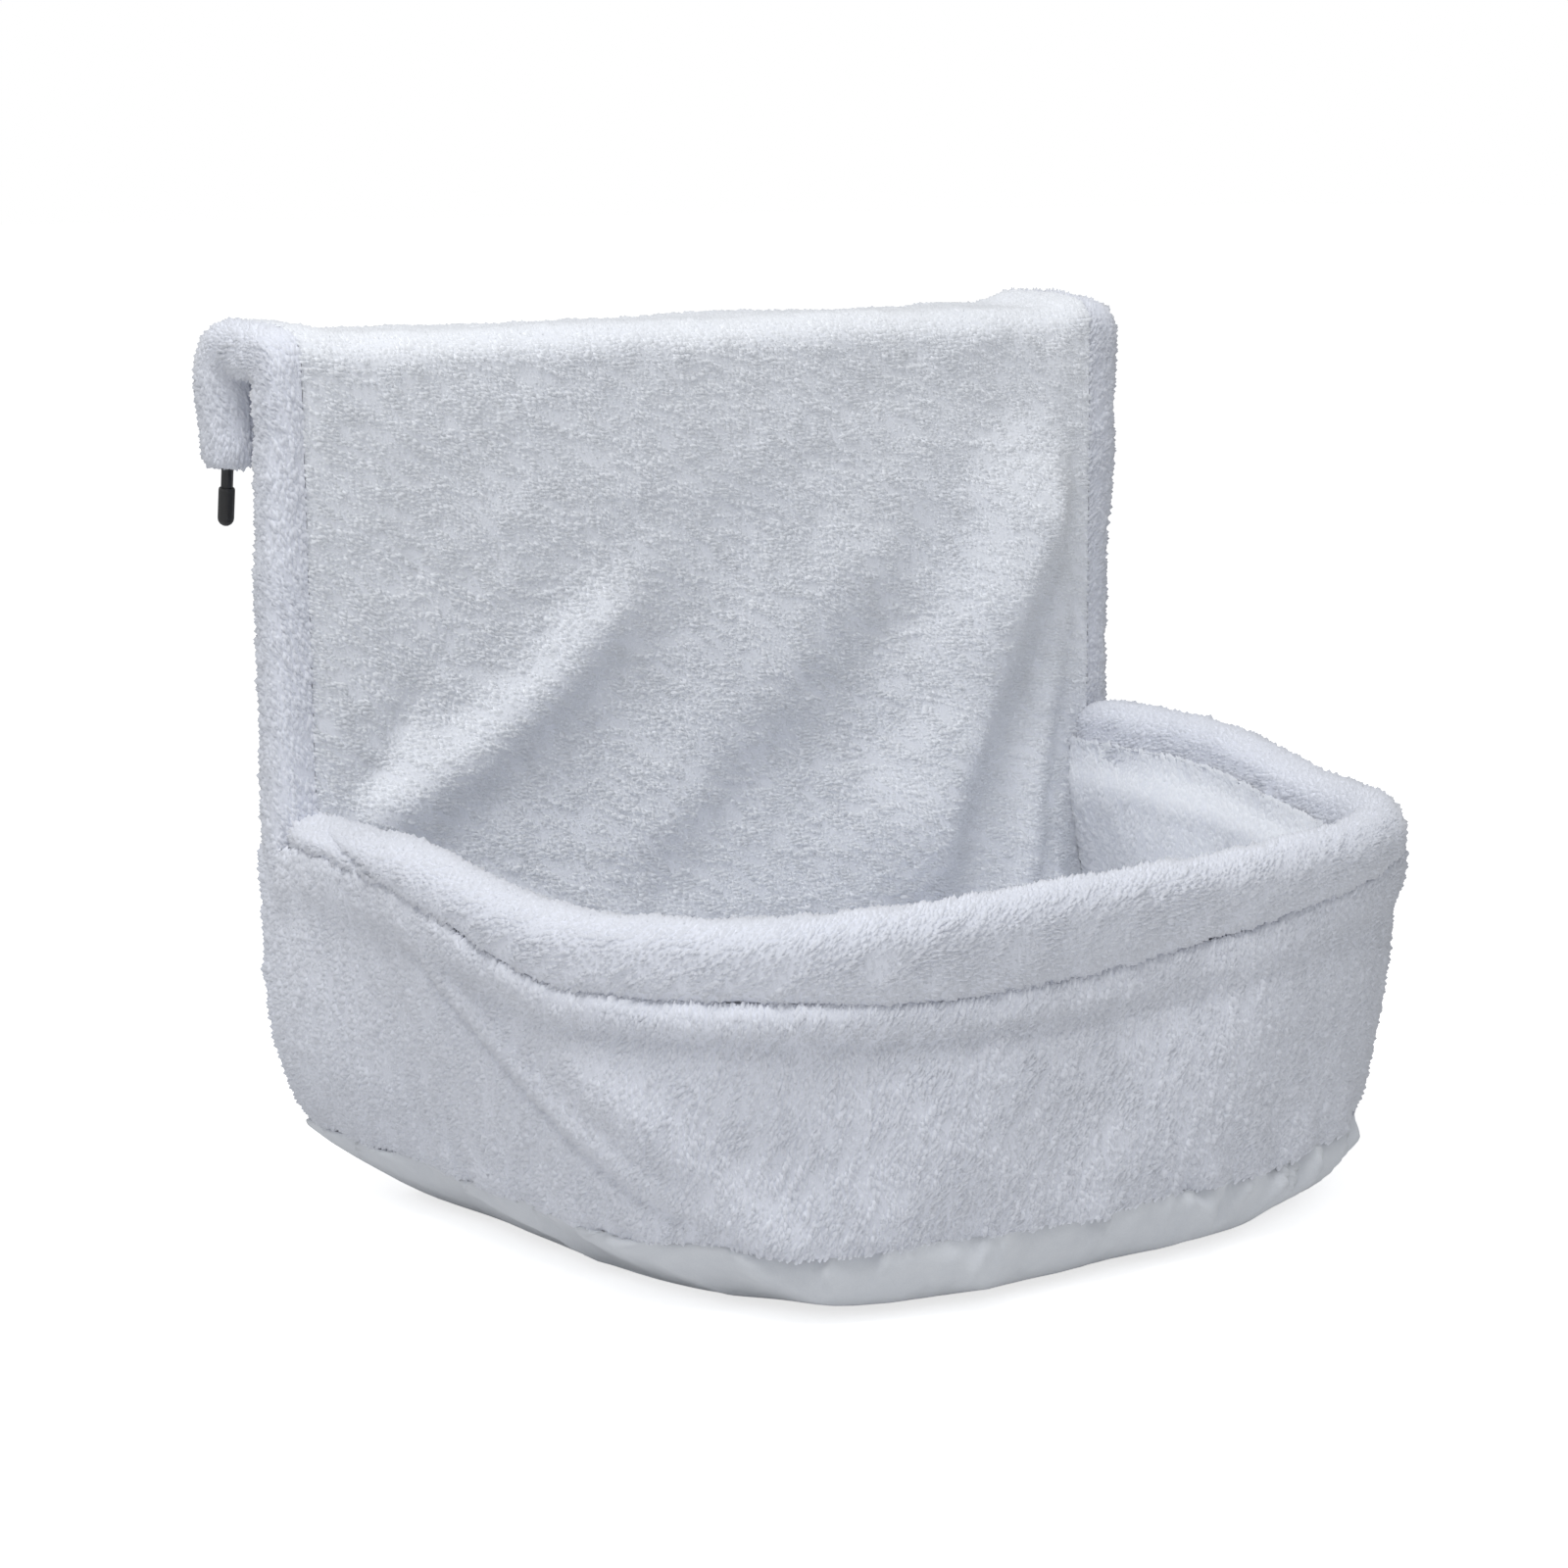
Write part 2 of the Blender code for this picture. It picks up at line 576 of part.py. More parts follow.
def make_hooks():
    """Two hook rods, which slide in the guide tubes, bend down behind the radiator and end in plastic caps."""
    bend_z = GUIDE_Z - HOOK_BEND_RADIUS
    bend = arc((HOOK_LEG_Y - HOOK_BEND_RADIUS, bend_z), HOOK_BEND_RADIUS, 90, 0, 7)
    knee_z = -FLAP_DROP - SEAT_GAP
    cap_top_z = -HOOK_DROP + HOOK_CAP_LENGTH
    lean = HOOK_FLARE / (HOOK_DROP + knee_z)
    rod_end_z = cap_top_z - HOOK_CAP_DEPTH + CLOTH_GAP
    rod_end_y = HOOK_LEG_Y + lean * (knee_z - rod_end_z)
    for side, sign in SIDES:
        x = sign * UPRIGHT_X
        points = [(x, GUIDE_FRONT_Y + SEAT_GAP, GUIDE_Z)]
        points += [(x, y, z) for y, z in bend]
        points += [(x, HOOK_LEG_Y, knee_z), (x, rod_end_y, rod_end_z)]
        tube(side + "_hook_rod", points, HOOK_ROD_DIAMETER, STEEL, 3)
        wall = HOOK_CAP_DIAMETER / 2
        profile = [(0.0, HOOK_CAP_LENGTH), (wall - SEAT_GAP, HOOK_CAP_LENGTH), (wall, HOOK_CAP_LENGTH - CLOTH_GAP)]
        profile += arc((0.0, wall), wall, 0, -90, 5)[:-1] + [(0.0, 0.0)]
        cap = turned(side + "_hook_cap", profile, PLASTIC)
        bore = rod(
            side + "_hook_cap_bore", HOOK_ROD_DIAMETER + 2 * SEAT_GAP, HOOK_CAP_DEPTH + CUT_OVERRUN, PLASTIC
        )
        lean_angle = math.atan(lean)
        cap_y = HOOK_LEG_Y + lean * (knee_z + HOOK_DROP)
        bore_rise = HOOK_CAP_LENGTH - HOOK_CAP_DEPTH
        for piece, rise in ((cap, 0.0), (bore, bore_rise)):
            piece.rotation_euler = (lean_angle, 0.0, 0.0)
            piece.location = (x, cap_y - rise * math.sin(lean_angle), -HOOK_DROP + rise * math.cos(lean_angle))
        cut(cap, bore)


# Plush back cover, sleeve and flap


def fold_height(x, z):
    """Swell of the front panel: soft folds that run down from the right hook and up from the left foot."""
    # Where each fold starts and ends, as shares of the half width and of the drop, then its width and height
    fold_shares = (
        ((0.90, 0.03), (0.38, 0.72), 1.5, 0.75),
        ((0.82, 0.40), (0.76, 0.85), 0.75, 0.9),
        ((-0.95, 0.60), (-0.62, 0.43), 0.9, 0.6),
        ((-0.95, 0.64), (-0.11, 0.34), 1.4, 0.6),
        ((-0.46, 0.66), (0.26, 0.31), 1.2, 0.5),
    )
    scale = np.array([COVER_WIDTH / 2, SEAM_DROP + TOP_Z])
    place = np.array([x, TOP_Z - z])
    down = place[1] / scale[1]
    swell = 0.0
    for start, end, width_share, height_share in fold_shares:
        first, last = np.array(start) * scale, np.array(end) * scale
        along = np.clip(np.dot(place - first, last - first) / np.dot(last - first, last - first), 0.0, 1.0)
        away = np.linalg.norm(place - first - along * (last - first)) / (FOLD_WIDTH * width_share)
        ends = smooth(*FOLD_END_SHARES, along) * smooth(*FOLD_END_SHARES, 1 - along)
        swell += height_share * math.exp(-(away**2)) * ends
    edge = smooth(*FOLD_EDGE_SHARES, 1 - abs(x) / panel_half_width(z))
    top_and_foot = smooth(0.0, FOLD_TOP_SHARE, down) * smooth(0.0, FOLD_FOOT_SHARE, 1 - down)
    return FOLD_HEIGHT * swell * edge * top_and_foot


def top_sag(x):
    """How far the sleeve sinks between the two hooks."""
    return TOP_SAG * smooth(*TOP_SAG_SHARES, 1 - abs(x) / UPRIGHT_X)


def make_face_cloth():
    """The front panel and the top of the sleeve, one cloth, with slots where the hoop's sockets pass."""
    split = FLAP_IN_Y - SEAT_GAP
    rows = [(FRONT_Y, z) for z in panel_heights(TOP_Z - TOP_RADIUS)]
    rows += arc((FRONT_Y + TOP_RADIUS, TOP_Z - TOP_RADIUS), TOP_RADIUS, 180, 90, 5)[1:]
    rows += [(y, TOP_Z) for y in np.linspace(FRONT_Y + TOP_RADIUS, split, 3)[1:]]
    grid = []
    for y, z in rows:
        half = panel_half_width(z)
        row = []
        for share in np.linspace(-1.0, 1.0, 25):
            x = half * share
            out = fold_height(x, z) if y == FRONT_Y else 0.0
            sunk = top_sag(x) * smooth(-UPPER_BAR_DROP, TOP_Z, z)
            row.append((x, y - out, z - sunk))
        grid.append(row)
    panel = cloth("face_cloth", grid, LAYER, PLUSH)
    for side, sign in SIDES:
        slot = rod(side + "_socket_slot", TUBE_DIAMETER + 2 * CLOTH_GAP, COVER_DEPTH, PLUSH)
        cut(panel, aim(slot, (sign * UPRIGHT_X, UPRIGHT_Y, SOCKET_Z), "-Y"))


def make_rear_cloth():
    """The rear panel and the underside of the sleeve, one cloth, which bears on the radiator."""
    split = FLAP_IN_Y - SEAT_GAP
    rows = [(split, 0.0), (REAR_Y + SEAT_FILLET, 0.0)]
    rows += arc((REAR_Y + SEAT_FILLET, -SEAT_FILLET), SEAT_FILLET, 90, 180, 4)[1:]
    rows += [(REAR_Y, z) for z in reversed(panel_heights(-SEAT_FILLET)[:-1])]
    grid = []
    for y, z in rows:
        half = panel_half_width(z)
        grid.append([(half * share, y, z) for share in np.linspace(-1.0, 1.0, 5)])
    cloth("rear_cloth", grid, LAYER, PLUSH)


def frame_outline(inset, foot, end):
    """The side outline of the back cover and the sleeve's frame half, in Y and Z, at an inset."""
    corner = (FRONT_Y + TOP_RADIUS, TOP_Z - TOP_RADIUS)
    outline = [(FRONT_Y + inset, foot)]
    outline += arc(corner, TOP_RADIUS - inset, 180, 90, 6)
    outline += [(end, TOP_Z - inset), (end, inset)]
    if inset:
        return outline + [(REAR_Y - inset, inset), (REAR_Y - inset, foot)]
    return outline + arc((REAR_Y + SEAT_FILLET, -SEAT_FILLET), SEAT_FILLET, 90, 180, 4) + [(REAR_Y, foot)]


def round_outer_edges(piece, outer_x, sign):
    """Rounds the edges of a gusset's outer face."""
    piece.data.transform(piece.matrix_basis)
    piece.matrix_basis.identity()
    piece.location = (0.0, 0.0, 0.0)
    piece.rotation_euler = (0.0, 0.0, 0.0)
    shape = bmesh.new()
    shape.from_mesh(piece.data)
    faces = [f for f in shape.faces if all(abs(v.co.x - sign * outer_x) < ON_FACE_DISTANCE for v in f.verts)]
    bmesh.ops.dissolve_faces(shape, faces=faces)
    edges = [e for e in shape.edges if all(abs(v.co.x - sign * outer_x) < ON_FACE_DISTANCE for v in e.verts)]
    bmesh.ops.bevel(
        shape, geom=edges, offset=EDGE_ROUNDING, offset_type="OFFSET", segments=3, profile=0.5, affect="EDGES"
    )
    bmesh.ops.recalc_face_normals(shape, faces=shape.faces)
    shape.to_mesh(piece.data)
    shape.free()


def make_gussets():
    """The cover's side gussets: each closes one side and rolls round on to the front and the rear."""
    outer, inner = COVER_WIDTH / 2, COVER_WIDTH / 2 - LAYER
    split = FLAP_IN_Y - SEAT_GAP
    for side, sign in SIDES:
        low, high = sorted((sign * SEAM_X, sign * outer))
        gusset = flat_outline(side + "_gusset", frame_outline(0.0, GUSSET_FOOT_Z, split), low, high, PLUSH)
        round_outer_edges(gusset, outer, sign)
        low, high = sorted((sign * (SEAM_X - CUT_OVERRUN), sign * inner))
        outline = frame_outline(LAYER, GUSSET_FOOT_Z - CUT_OVERRUN, split + CUT_OVERRUN)
        cut(gusset, flat_outline(side + "_gusset_hollow", outline, low, high, PLUSH))
        slot = rod(side + "_gusset_slot", TUBE_DIAMETER + 2 * CLOTH_GAP, COVER_DEPTH, PLUSH)
        cut(gusset, aim(slot, (sign * UPRIGHT_X, UPRIGHT_Y, SOCKET_Z), "-Y"))


def flap_outlines():
    """Side outlines of the flap: the whole, its hollow for the rod, its outer cloth and its lining."""
    start = FLAP_IN_Y + SEAT_GAP
    rod_gap = HOOK_ROD_DIAMETER / 2 + SEAT_GAP
    near, far = HOOK_LEG_Y - rod_gap, HOOK_LEG_Y + rod_gap
    lining_top = -SEAT_GAP
    shoulder = (FLAP_OUT_Y - FLAP_SHOULDER_RADIUS, TOP_Z - FLAP_SHOULDER_RADIUS)
    outer_hem = arc((FLAP_OUT_Y - FLAP_HEM_RADIUS, -FLAP_DROP + FLAP_HEM_RADIUS), FLAP_HEM_RADIUS, 0, -90, 5)
    inner_hem = arc((start + FLAP_HEM_RADIUS, -FLAP_DROP + FLAP_HEM_RADIUS), FLAP_HEM_RADIUS, -90, -180, 5)
    top = [(start, TOP_Z)] + arc(shoulder, FLAP_SHOULDER_RADIUS, 90, 0, 8)
    whole = top + outer_hem + inner_hem + [(start, LAYER)]
    face = top + outer_hem + [(far, -FLAP_DROP), (far, TOP_Z - LAYER), (start, TOP_Z - LAYER)]
    lining = [(near, lining_top), (near, -FLAP_DROP)] + inner_hem + [(start, lining_top)]
    low = -FLAP_DROP - CUT_OVERRUN
    hollow = [(start - CUT_OVERRUN, TOP_Z - LAYER), (far, TOP_Z - LAYER), (far, low), (near, low)]
    hollow += [(near, lining_top), (start - CUT_OVERRUN, lining_top)]
    return whole, hollow, face, lining


def make_flap():
    """The rear half of the sleeve and the flap behind the radiator's edge, which move with the hooks."""
    whole, hollow, face, lining = flap_outlines()
    half = SEAM_X - SEAT_GAP
    rings = []
    for x in half * np.linspace(-1.0, 1.0, 15):
        rings.append([(x, y, z - top_sag(x) * smooth(-UPPER_BAR_DROP, TOP_Z, z)) for y, z in face])
    ring_solid("flap_face", rings, PLUSH)
    flat_outline("flap_lining", lining, -half, half, PLUSH)
    outer, inner = COVER_WIDTH / 2, COVER_WIDTH / 2 - LAYER
    for side, sign in SIDES:
        low, high = sorted((sign * SEAM_X, sign * outer))
        gusset = flat_outline(side + "_flap_gusset", whole, low, high, PLUSH)
        round_outer_edges(gusset, outer, sign)
        low, high = sorted((sign * (SEAM_X - CUT_OVERRUN), sign * inner))
        cut(gusset, flat_outline(side + "_flap_hollow", hollow, low, high, PLUSH))


# Basket


def make_rim_sleeve():
    """The rolled plush channel round the hoop, with buttonholes over the sockets' screws."""
    count = 61
    line = rim_line(count)
    line[0] = (line[0][0], FRONT_Y - CLOTH_GAP, line[0][2])
    line[-1] = (line[-1][0], FRONT_Y - CLOTH_GAP, line[-1][2])
    sleeve = tube("rim_sleeve", line, RIM_ROLL_DIAMETER, PLUSH, 3, caps=False)
    layer = sleeve.modifiers.new("layer", "SOLIDIFY")
    layer.thickness = ROLL_RADIUS - TUBE_DIAMETER / 2 - SEAT_GAP
    layer.offset = -1.0
    for side, sign in SIDES:
        hole = rod(side + "_buttonhole", SCREW_HEAD_DIAMETER + 2 * SEAT_GAP, RIM_ROLL_DIAMETER, PLUSH)
        cut(sleeve, aim(hole, (sign * UPRIGHT_X, SOCKET_SCREW_Y, SOCKET_Z), "-X" if sign > 0 else "+X"))


def make_walls():
    """The outer wall, which wraps the frame's foot, and the inner wall, both plush."""
    face = wall_grid()
    cloth("outer_wall", face, WALL_LAYER, PLUSH)
    inner = inset_grid(face, WALL_LAYER + CLOTH_GAP)
    in_front = face[0, :, 1] < FRONT_Y
    inner = inner[:, in_front]
    inner[:, (0, -1), 1] = FRONT_Y - CLOTH_GAP
    cloth("inner_wall", inner, WALL_LAYER, PLUSH)


def seam_ring(count):
    """Closed ring of the seam between the walls and the base, rear side straight."""
    front = wall_plans(count)[1]
    rear = np.linspace(front[-1], front[0], 9)[1:-1]
    return np.concatenate([front, rear])


def ring_solid(name, rings, material):
    """A closed solid through rings of equal count, from its bottom ring to its top ring."""
    shape = bmesh.new()
    made = [[shape.verts.new(point) for point in ring] for ring in rings]
    count = len(rings[0])
    for lower, upper in zip(made, made[1:]):
        for i in range(count):
            k = (i + 1) % count
            shape.faces.new((lower[i], lower[k], upper[k], upper[i]))
    shape.faces.new(list(reversed(made[0])))
    shape.faces.new(made[-1])
    bmesh.ops.recalc_face_normals(shape, faces=shape.faces)
    mesh = bpy.data.meshes.new(name)
    shape.to_mesh(mesh)
    shape.free()
    return add_piece(name, mesh, material)


def scaled_ring(ring, share, z):
    """The seam's ring drawn in to a share of its size, at a height."""
    centre = np.array([0.0, (ring[:, 1].min() + ring[:, 1].max()) / 2])
    return [(x, y, z) for x, y in centre + (ring - centre) * share]


def make_base():
    """The sagging base cloth, the stiff board that lies in it, and the plush pad on the board."""
    ring = seam_ring(49)
    front_lean = math.atan2(SEAM_REACH - WALL_TOP_REACH, SEAM_DROP + GUSSET_FOOT_Z)
    seam_z = -SEAM_DROP - WALL_LAYER * math.sin(front_lean) - SEAT_GAP
    steps = 5
    outer = []
    inner = []
    depth_share = 1 - BASE_CLOTH / BASE_BULGE
    cloth_share = BASE_CLOTH / SEAM_HALF_WIDTH
    for i in range(steps):
        turn = math.pi / 2 * i / (steps - 1)
        share = BASE_FLAT_SHARE + (1 - BASE_FLAT_SHARE) * math.cos(turn) ** BASE_FULLNESS_POWER
        drop = BASE_BULGE * math.sin(turn) ** BASE_FULLNESS_POWER
        outer.append(scaled_ring(ring, share, seam_z - drop))
        inner.append(scaled_ring(ring, share - cloth_share, seam_z - drop * depth_share))
    ring_solid("base_cloth", list(reversed(outer)) + inner, BASE_FABRIC)
    floor_z = seam_z - BASE_BULGE * depth_share + SEAT_GAP
    board = scaled_ring(ring, BASE_FLAT_SHARE - 2 * cloth_share, 0.0)
    flat_outline(
        "base_board", [(x, y) for x, y, _ in board], floor_z, floor_z + BOARD_THICKNESS, BOARD, plane="XY"
    )
    pad_z = floor_z + BOARD_THICKNESS + SEAT_GAP
    top_z = min(pad_z + PAD_THICKNESS, -SEAM_DROP - CLOTH_GAP)
    edge_z = top_z - PAD_EDGE_DROP
    # Each ring of the pad's side and of its crown, as a share of the seam's ring and of the rise
    side_shares = ((0.83, 0.0), (0.875, 0.33), (0.885, 0.67), (0.86, 1.0))
    crown_shares = ((0.80, 0.35), (0.66, 0.72), (0.45, 0.93), (0.20, 1.0))
    rings = [scaled_ring(ring, share, pad_z + rise * (edge_z - pad_z)) for share, rise in side_shares]
    rings += [scaled_ring(ring, share, edge_z + rise * PAD_EDGE_DROP) for share, rise in crown_shares]
    ring_solid("floor_pad", rings, PLUSH)


# Zip


def box(name, low, high, material):
    """A box between two corners."""
    bpy.ops.mesh.primitive_cube_add(size=1.0)
    made = bpy.context.active_object
    made.name = name
    sizes = [b - a for a, b in zip(low, high)]
    middle = [(a + b) / 2 for a, b in zip(low, high)]
    for vertex in made.data.vertices:
        vertex.co = [c * s + m for c, s, m in zip(vertex.co, sizes, middle)]
    for owner in list(made.users_collection):
        owner.objects.unlink(made)
    PARTS.objects.link(made)
    made.data.materials.clear()
    made.data.materials.append(material)
    return made


def make_zip():
    """The zip that lets the frame out of the cover: tape, chain, slider with its bridge, and a pull."""
    half = ZIP_LENGTH / 2
    z = -ZIP_DROP
    tape_y = REAR_Y + SEAT_GAP
    chain_y = tape_y + ZIP_TAPE_THICKNESS + SEAT_GAP
    slider_y = chain_y + ZIP_CHAIN_THICKNESS + SEAT_GAP
    tape_half, chain_half = ZIP_TAPE_WIDTH / 2, ZIP_CHAIN_WIDTH / 2
    box(
        "zip_tape",
        (-half, tape_y, z - tape_half),
        (half, tape_y + ZIP_TAPE_THICKNESS, z + tape_half),
        ZIP_CLOTH,
    )
    end = half - SLIDER_END_MARGIN / 2
    box("zip_chain", (-end, chain_y, z - chain_half), (end, chain_y + ZIP_CHAIN_THICKNESS, z + chain_half), PLASTIC)
    slider_x = -half + SLIDER_END_MARGIN + SLIDER_LENGTH / 2
    long, wide = SLIDER_LENGTH / 2, SLIDER_WIDTH / 2
    outline_shares = ((-1.0, -0.62), (-0.5, -0.62), (0.35, -1.0), (1.0, -0.8))
    outline = [(long * along, wide * across) for along, across in outline_shares]
    outline += [(x, -y) for x, y in reversed(outline)]
    slider = flat_outline("zip_slider", outline, 0.0, SLIDER_THICKNESS, PLASTIC, "XY")
    slider.data.transform(slider.matrix_basis)
    slider.location = (slider_x, slider_y, z)
    slider.rotation_euler = (-math.pi / 2, 0.0, 0.0)
    foot_y = slider_y + SLIDER_THICKNESS / 2
    bar_y = slider_y + SLIDER_THICKNESS + BRIDGE_HEIGHT
    left_x, right_x = slider_x - BRIDGE_HALF_SPAN, slider_x + BRIDGE_HALF_SPAN
    bridge_points = [(left_x, foot_y, z), (left_x, bar_y, z), (right_x, bar_y, z), (right_x, foot_y, z)]
    cut(slider, tube("zip_bridge", bridge_points, BRIDGE_WIRE, PLASTIC, 1), "UNION")
    pivot_y = (slider_y + SLIDER_THICKNESS + bar_y - BRIDGE_WIRE / 2) / 2
    make_pull(slider_x, pivot_y, z)


def make_pull(x, y, z):
    """The slider's pull, whose pivot bar lies under the bridge. It points to the left at rest."""
    bar = PULL_PIVOT_BAR / 2
    window_end = bar + PULL_WINDOW_LENGTH
    wide = PULL_WIDTH / 2
    slim = wide * PULL_TIP_SHARE
    tip = PULL_LENGTH
    outline = [(bar, -wide), (bar, wide), (-window_end, wide), (-tip + wide, slim)]
    outline += arc((-tip + wide, 0.0), slim, 110, 250, 7)
    outline += [(-tip + wide, -slim), (-window_end, -wide)]
    pull = flat_outline("zip_pull", outline, -PULL_THICKNESS / 2, PULL_THICKNESS / 2, PLASTIC, "XY")
    opening = wide - PULL_SIDE
    window = [(-bar, -opening), (-bar, opening), (-window_end + bar, opening), (-window_end + bar, -opening)]
    hole = flat_outline("zip_pull_window", window, -PULL_THICKNESS, PULL_THICKNESS, PLASTIC, "XY")
    for piece in (pull, hole):
        piece.location = (x, y, z)
        piece.rotation_euler = (-math.pi / 2, 0.0, 0.0)
    cut(pull, hole)


clear_scene()
PARTS = collection("radiator_cat_bed")
CUTTERS = collection("cutters")
PLUSH = finish("pale_plush", (0.78, 0.81, 0.86), 0.95)
BASE_FABRIC = finish("base_fabric", (0.66, 0.69, 0.73), 0.9)
STEEL = finish("black_coated_steel", (0.02, 0.02, 0.022), 0.4, 0.3)
PLASTIC = finish("black_plastic", (0.015, 0.015, 0.016), 0.45)
BOARD = finish("grey_board", (0.35, 0.31, 0.27), 0.8)
ZIP_CLOTH = finish("zip_tape_cloth", (0.62, 0.65, 0.70), 0.9)

make_uprights()
make_cross_bars()
make_guide_tubes()
make_clamp_screws()
make_hoop()
make_hooks()
make_face_cloth()
make_rear_cloth()
make_gussets()
make_flap()
make_rim_sleeve()
make_walls()
make_base()
make_zip()
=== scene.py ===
"""Radiator cat bed, dressed: plush with its own pile, soft folds, sewn seams, steel hooks and a zip.

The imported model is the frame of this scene. Every soft piece is sewn anew over its solid in that model, as a
closed cloth with a field of small tufts on it. The steel, the plastic and the board keep their solids and get
their finishes. Metres, +Z up, +Y towards the wall, +X to the right of someone who faces the bed.
"""

import json
import logging
import math
from dataclasses import dataclass
from enum import Enum
from typing import Callable, Optional, Sequence, Union

import bpy
import numpy as np
from mathutils import Matrix, Vector


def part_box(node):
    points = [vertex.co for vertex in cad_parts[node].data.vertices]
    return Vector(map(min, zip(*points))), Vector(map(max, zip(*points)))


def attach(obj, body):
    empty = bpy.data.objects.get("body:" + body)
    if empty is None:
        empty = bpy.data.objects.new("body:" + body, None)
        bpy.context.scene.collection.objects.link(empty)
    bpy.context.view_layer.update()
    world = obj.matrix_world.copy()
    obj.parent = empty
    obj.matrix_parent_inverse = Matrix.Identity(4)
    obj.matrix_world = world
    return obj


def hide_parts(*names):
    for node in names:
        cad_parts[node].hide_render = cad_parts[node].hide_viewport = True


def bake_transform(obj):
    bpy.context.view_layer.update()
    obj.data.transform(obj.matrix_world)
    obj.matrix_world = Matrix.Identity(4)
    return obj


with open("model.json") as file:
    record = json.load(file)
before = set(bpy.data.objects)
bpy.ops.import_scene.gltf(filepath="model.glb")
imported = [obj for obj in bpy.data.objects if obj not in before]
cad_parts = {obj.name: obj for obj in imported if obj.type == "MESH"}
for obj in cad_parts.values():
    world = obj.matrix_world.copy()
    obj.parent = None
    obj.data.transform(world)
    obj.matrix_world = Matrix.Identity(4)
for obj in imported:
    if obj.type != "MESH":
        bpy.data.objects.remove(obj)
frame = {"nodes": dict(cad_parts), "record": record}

LOG = logging.getLogger("radiator_cat_bed")
Array = np.ndarray
Colour = tuple[float, float, float]
Keep = Optional[Callable[[Array], Array]]
Tufts = tuple[Array, Array, Array]


# Numbers and curves


def smooth(low: float, high: float, value: Array) -> Array:
    """A smooth step: 0 up to the low value and 1 from the high one."""
    share = np.clip((np.asarray(value, float) - low) / (high - low), 0.0, 1.0)
    return share * share * (3 - 2 * share)


def bell(value: Array, width: float) -> Array:
    """A bell curve: 1 at zero, and next to nothing two widths away."""
    return np.exp(-((value / width) ** 2))


def unit(vectors: Array) -> Array:
    """Vectors made one long, along their last axis."""
    return vectors / np.maximum(np.linalg.norm(vectors, axis=-1, keepdims=True), 1e-12)


def steps(points: Array) -> Array:
    """Distances from each point of a line to the next."""
    return np.linalg.norm(np.diff(points, axis=0), axis=1)


def running(lengths: Array) -> Array:
    """Running sums of lengths, from zero."""
    return np.concatenate([[0.0], np.cumsum(lengths)])


def redrawn(points: Array, run: Array, count: int) -> Array:
    """A line of points drawn again with even steps.

    Args:
        points: the line's points, one a row.
        run: how far along the line each of them lies.
        count: how many points are wanted.

    Returns:
        The new points, with both ends kept.
    """
    even = np.linspace(0.0, run[-1], count)
    return np.stack([np.interp(even, run, column) for column in points.T], axis=1)


def evenly(points: Array, spacing: float) -> Array:
    """A line of points drawn again with steps as near a spacing as fits."""
    run = running(steps(points))
    return redrawn(points, run, max(2, int(round(run[-1] / spacing)) + 1))


def arc(centre: tuple[float, float], radius: float, start: float, end: float, count: int) -> Array:
    """Points on an arc in a plane, one a row, between two angles in degrees."""
    angles = np.radians(np.linspace(start, end, count))
    return np.array(centre) + radius * np.stack([np.cos(angles), np.sin(angles)], axis=1)


class Ripple:
    """Smooth random unevenness over a plane, the same on each run."""

    def __init__(self, seed: int) -> None:
        """Fills the lattice that the unevenness is drawn from."""
        self.lattice = np.random.default_rng(seed).uniform(-1.0, 1.0, (256, 256))

    def at(self, across: Array, along: Array, length: float, width: float, turn: float = 0.0) -> Array:
        """The unevenness at places on the plane.

        Args:
            across: first coordinate of the places, in metres.
            along: second coordinate of the places, in metres.
            length: size of a wave along its own crest, in metres.
            width: size of a wave across its crest, in metres.
            turn: angle of the crests from the first coordinate, in degrees.

        Returns:
            A value from -1 to 1 for each place.
        """
        angle = math.radians(turn)
        first = (across * math.cos(angle) + along * math.sin(angle)) / length + 64.0
        second = (along * math.cos(angle) - across * math.sin(angle)) / width + 64.0
        i, j = np.floor(first).astype(int), np.floor(second).astype(int)
        u, v = smooth(0.0, 1.0, first - i), smooth(0.0, 1.0, second - j)
        corner = [self.lattice[(i + a) & 255, (j + b) & 255] for a in (0, 1) for b in (0, 1)]
        return (corner[0] * (1 - v) + corner[1] * v) * (1 - u) + (corner[2] * (1 - v) + corner[3] * v) * u


# The bed's own sizes, as they are in its solids


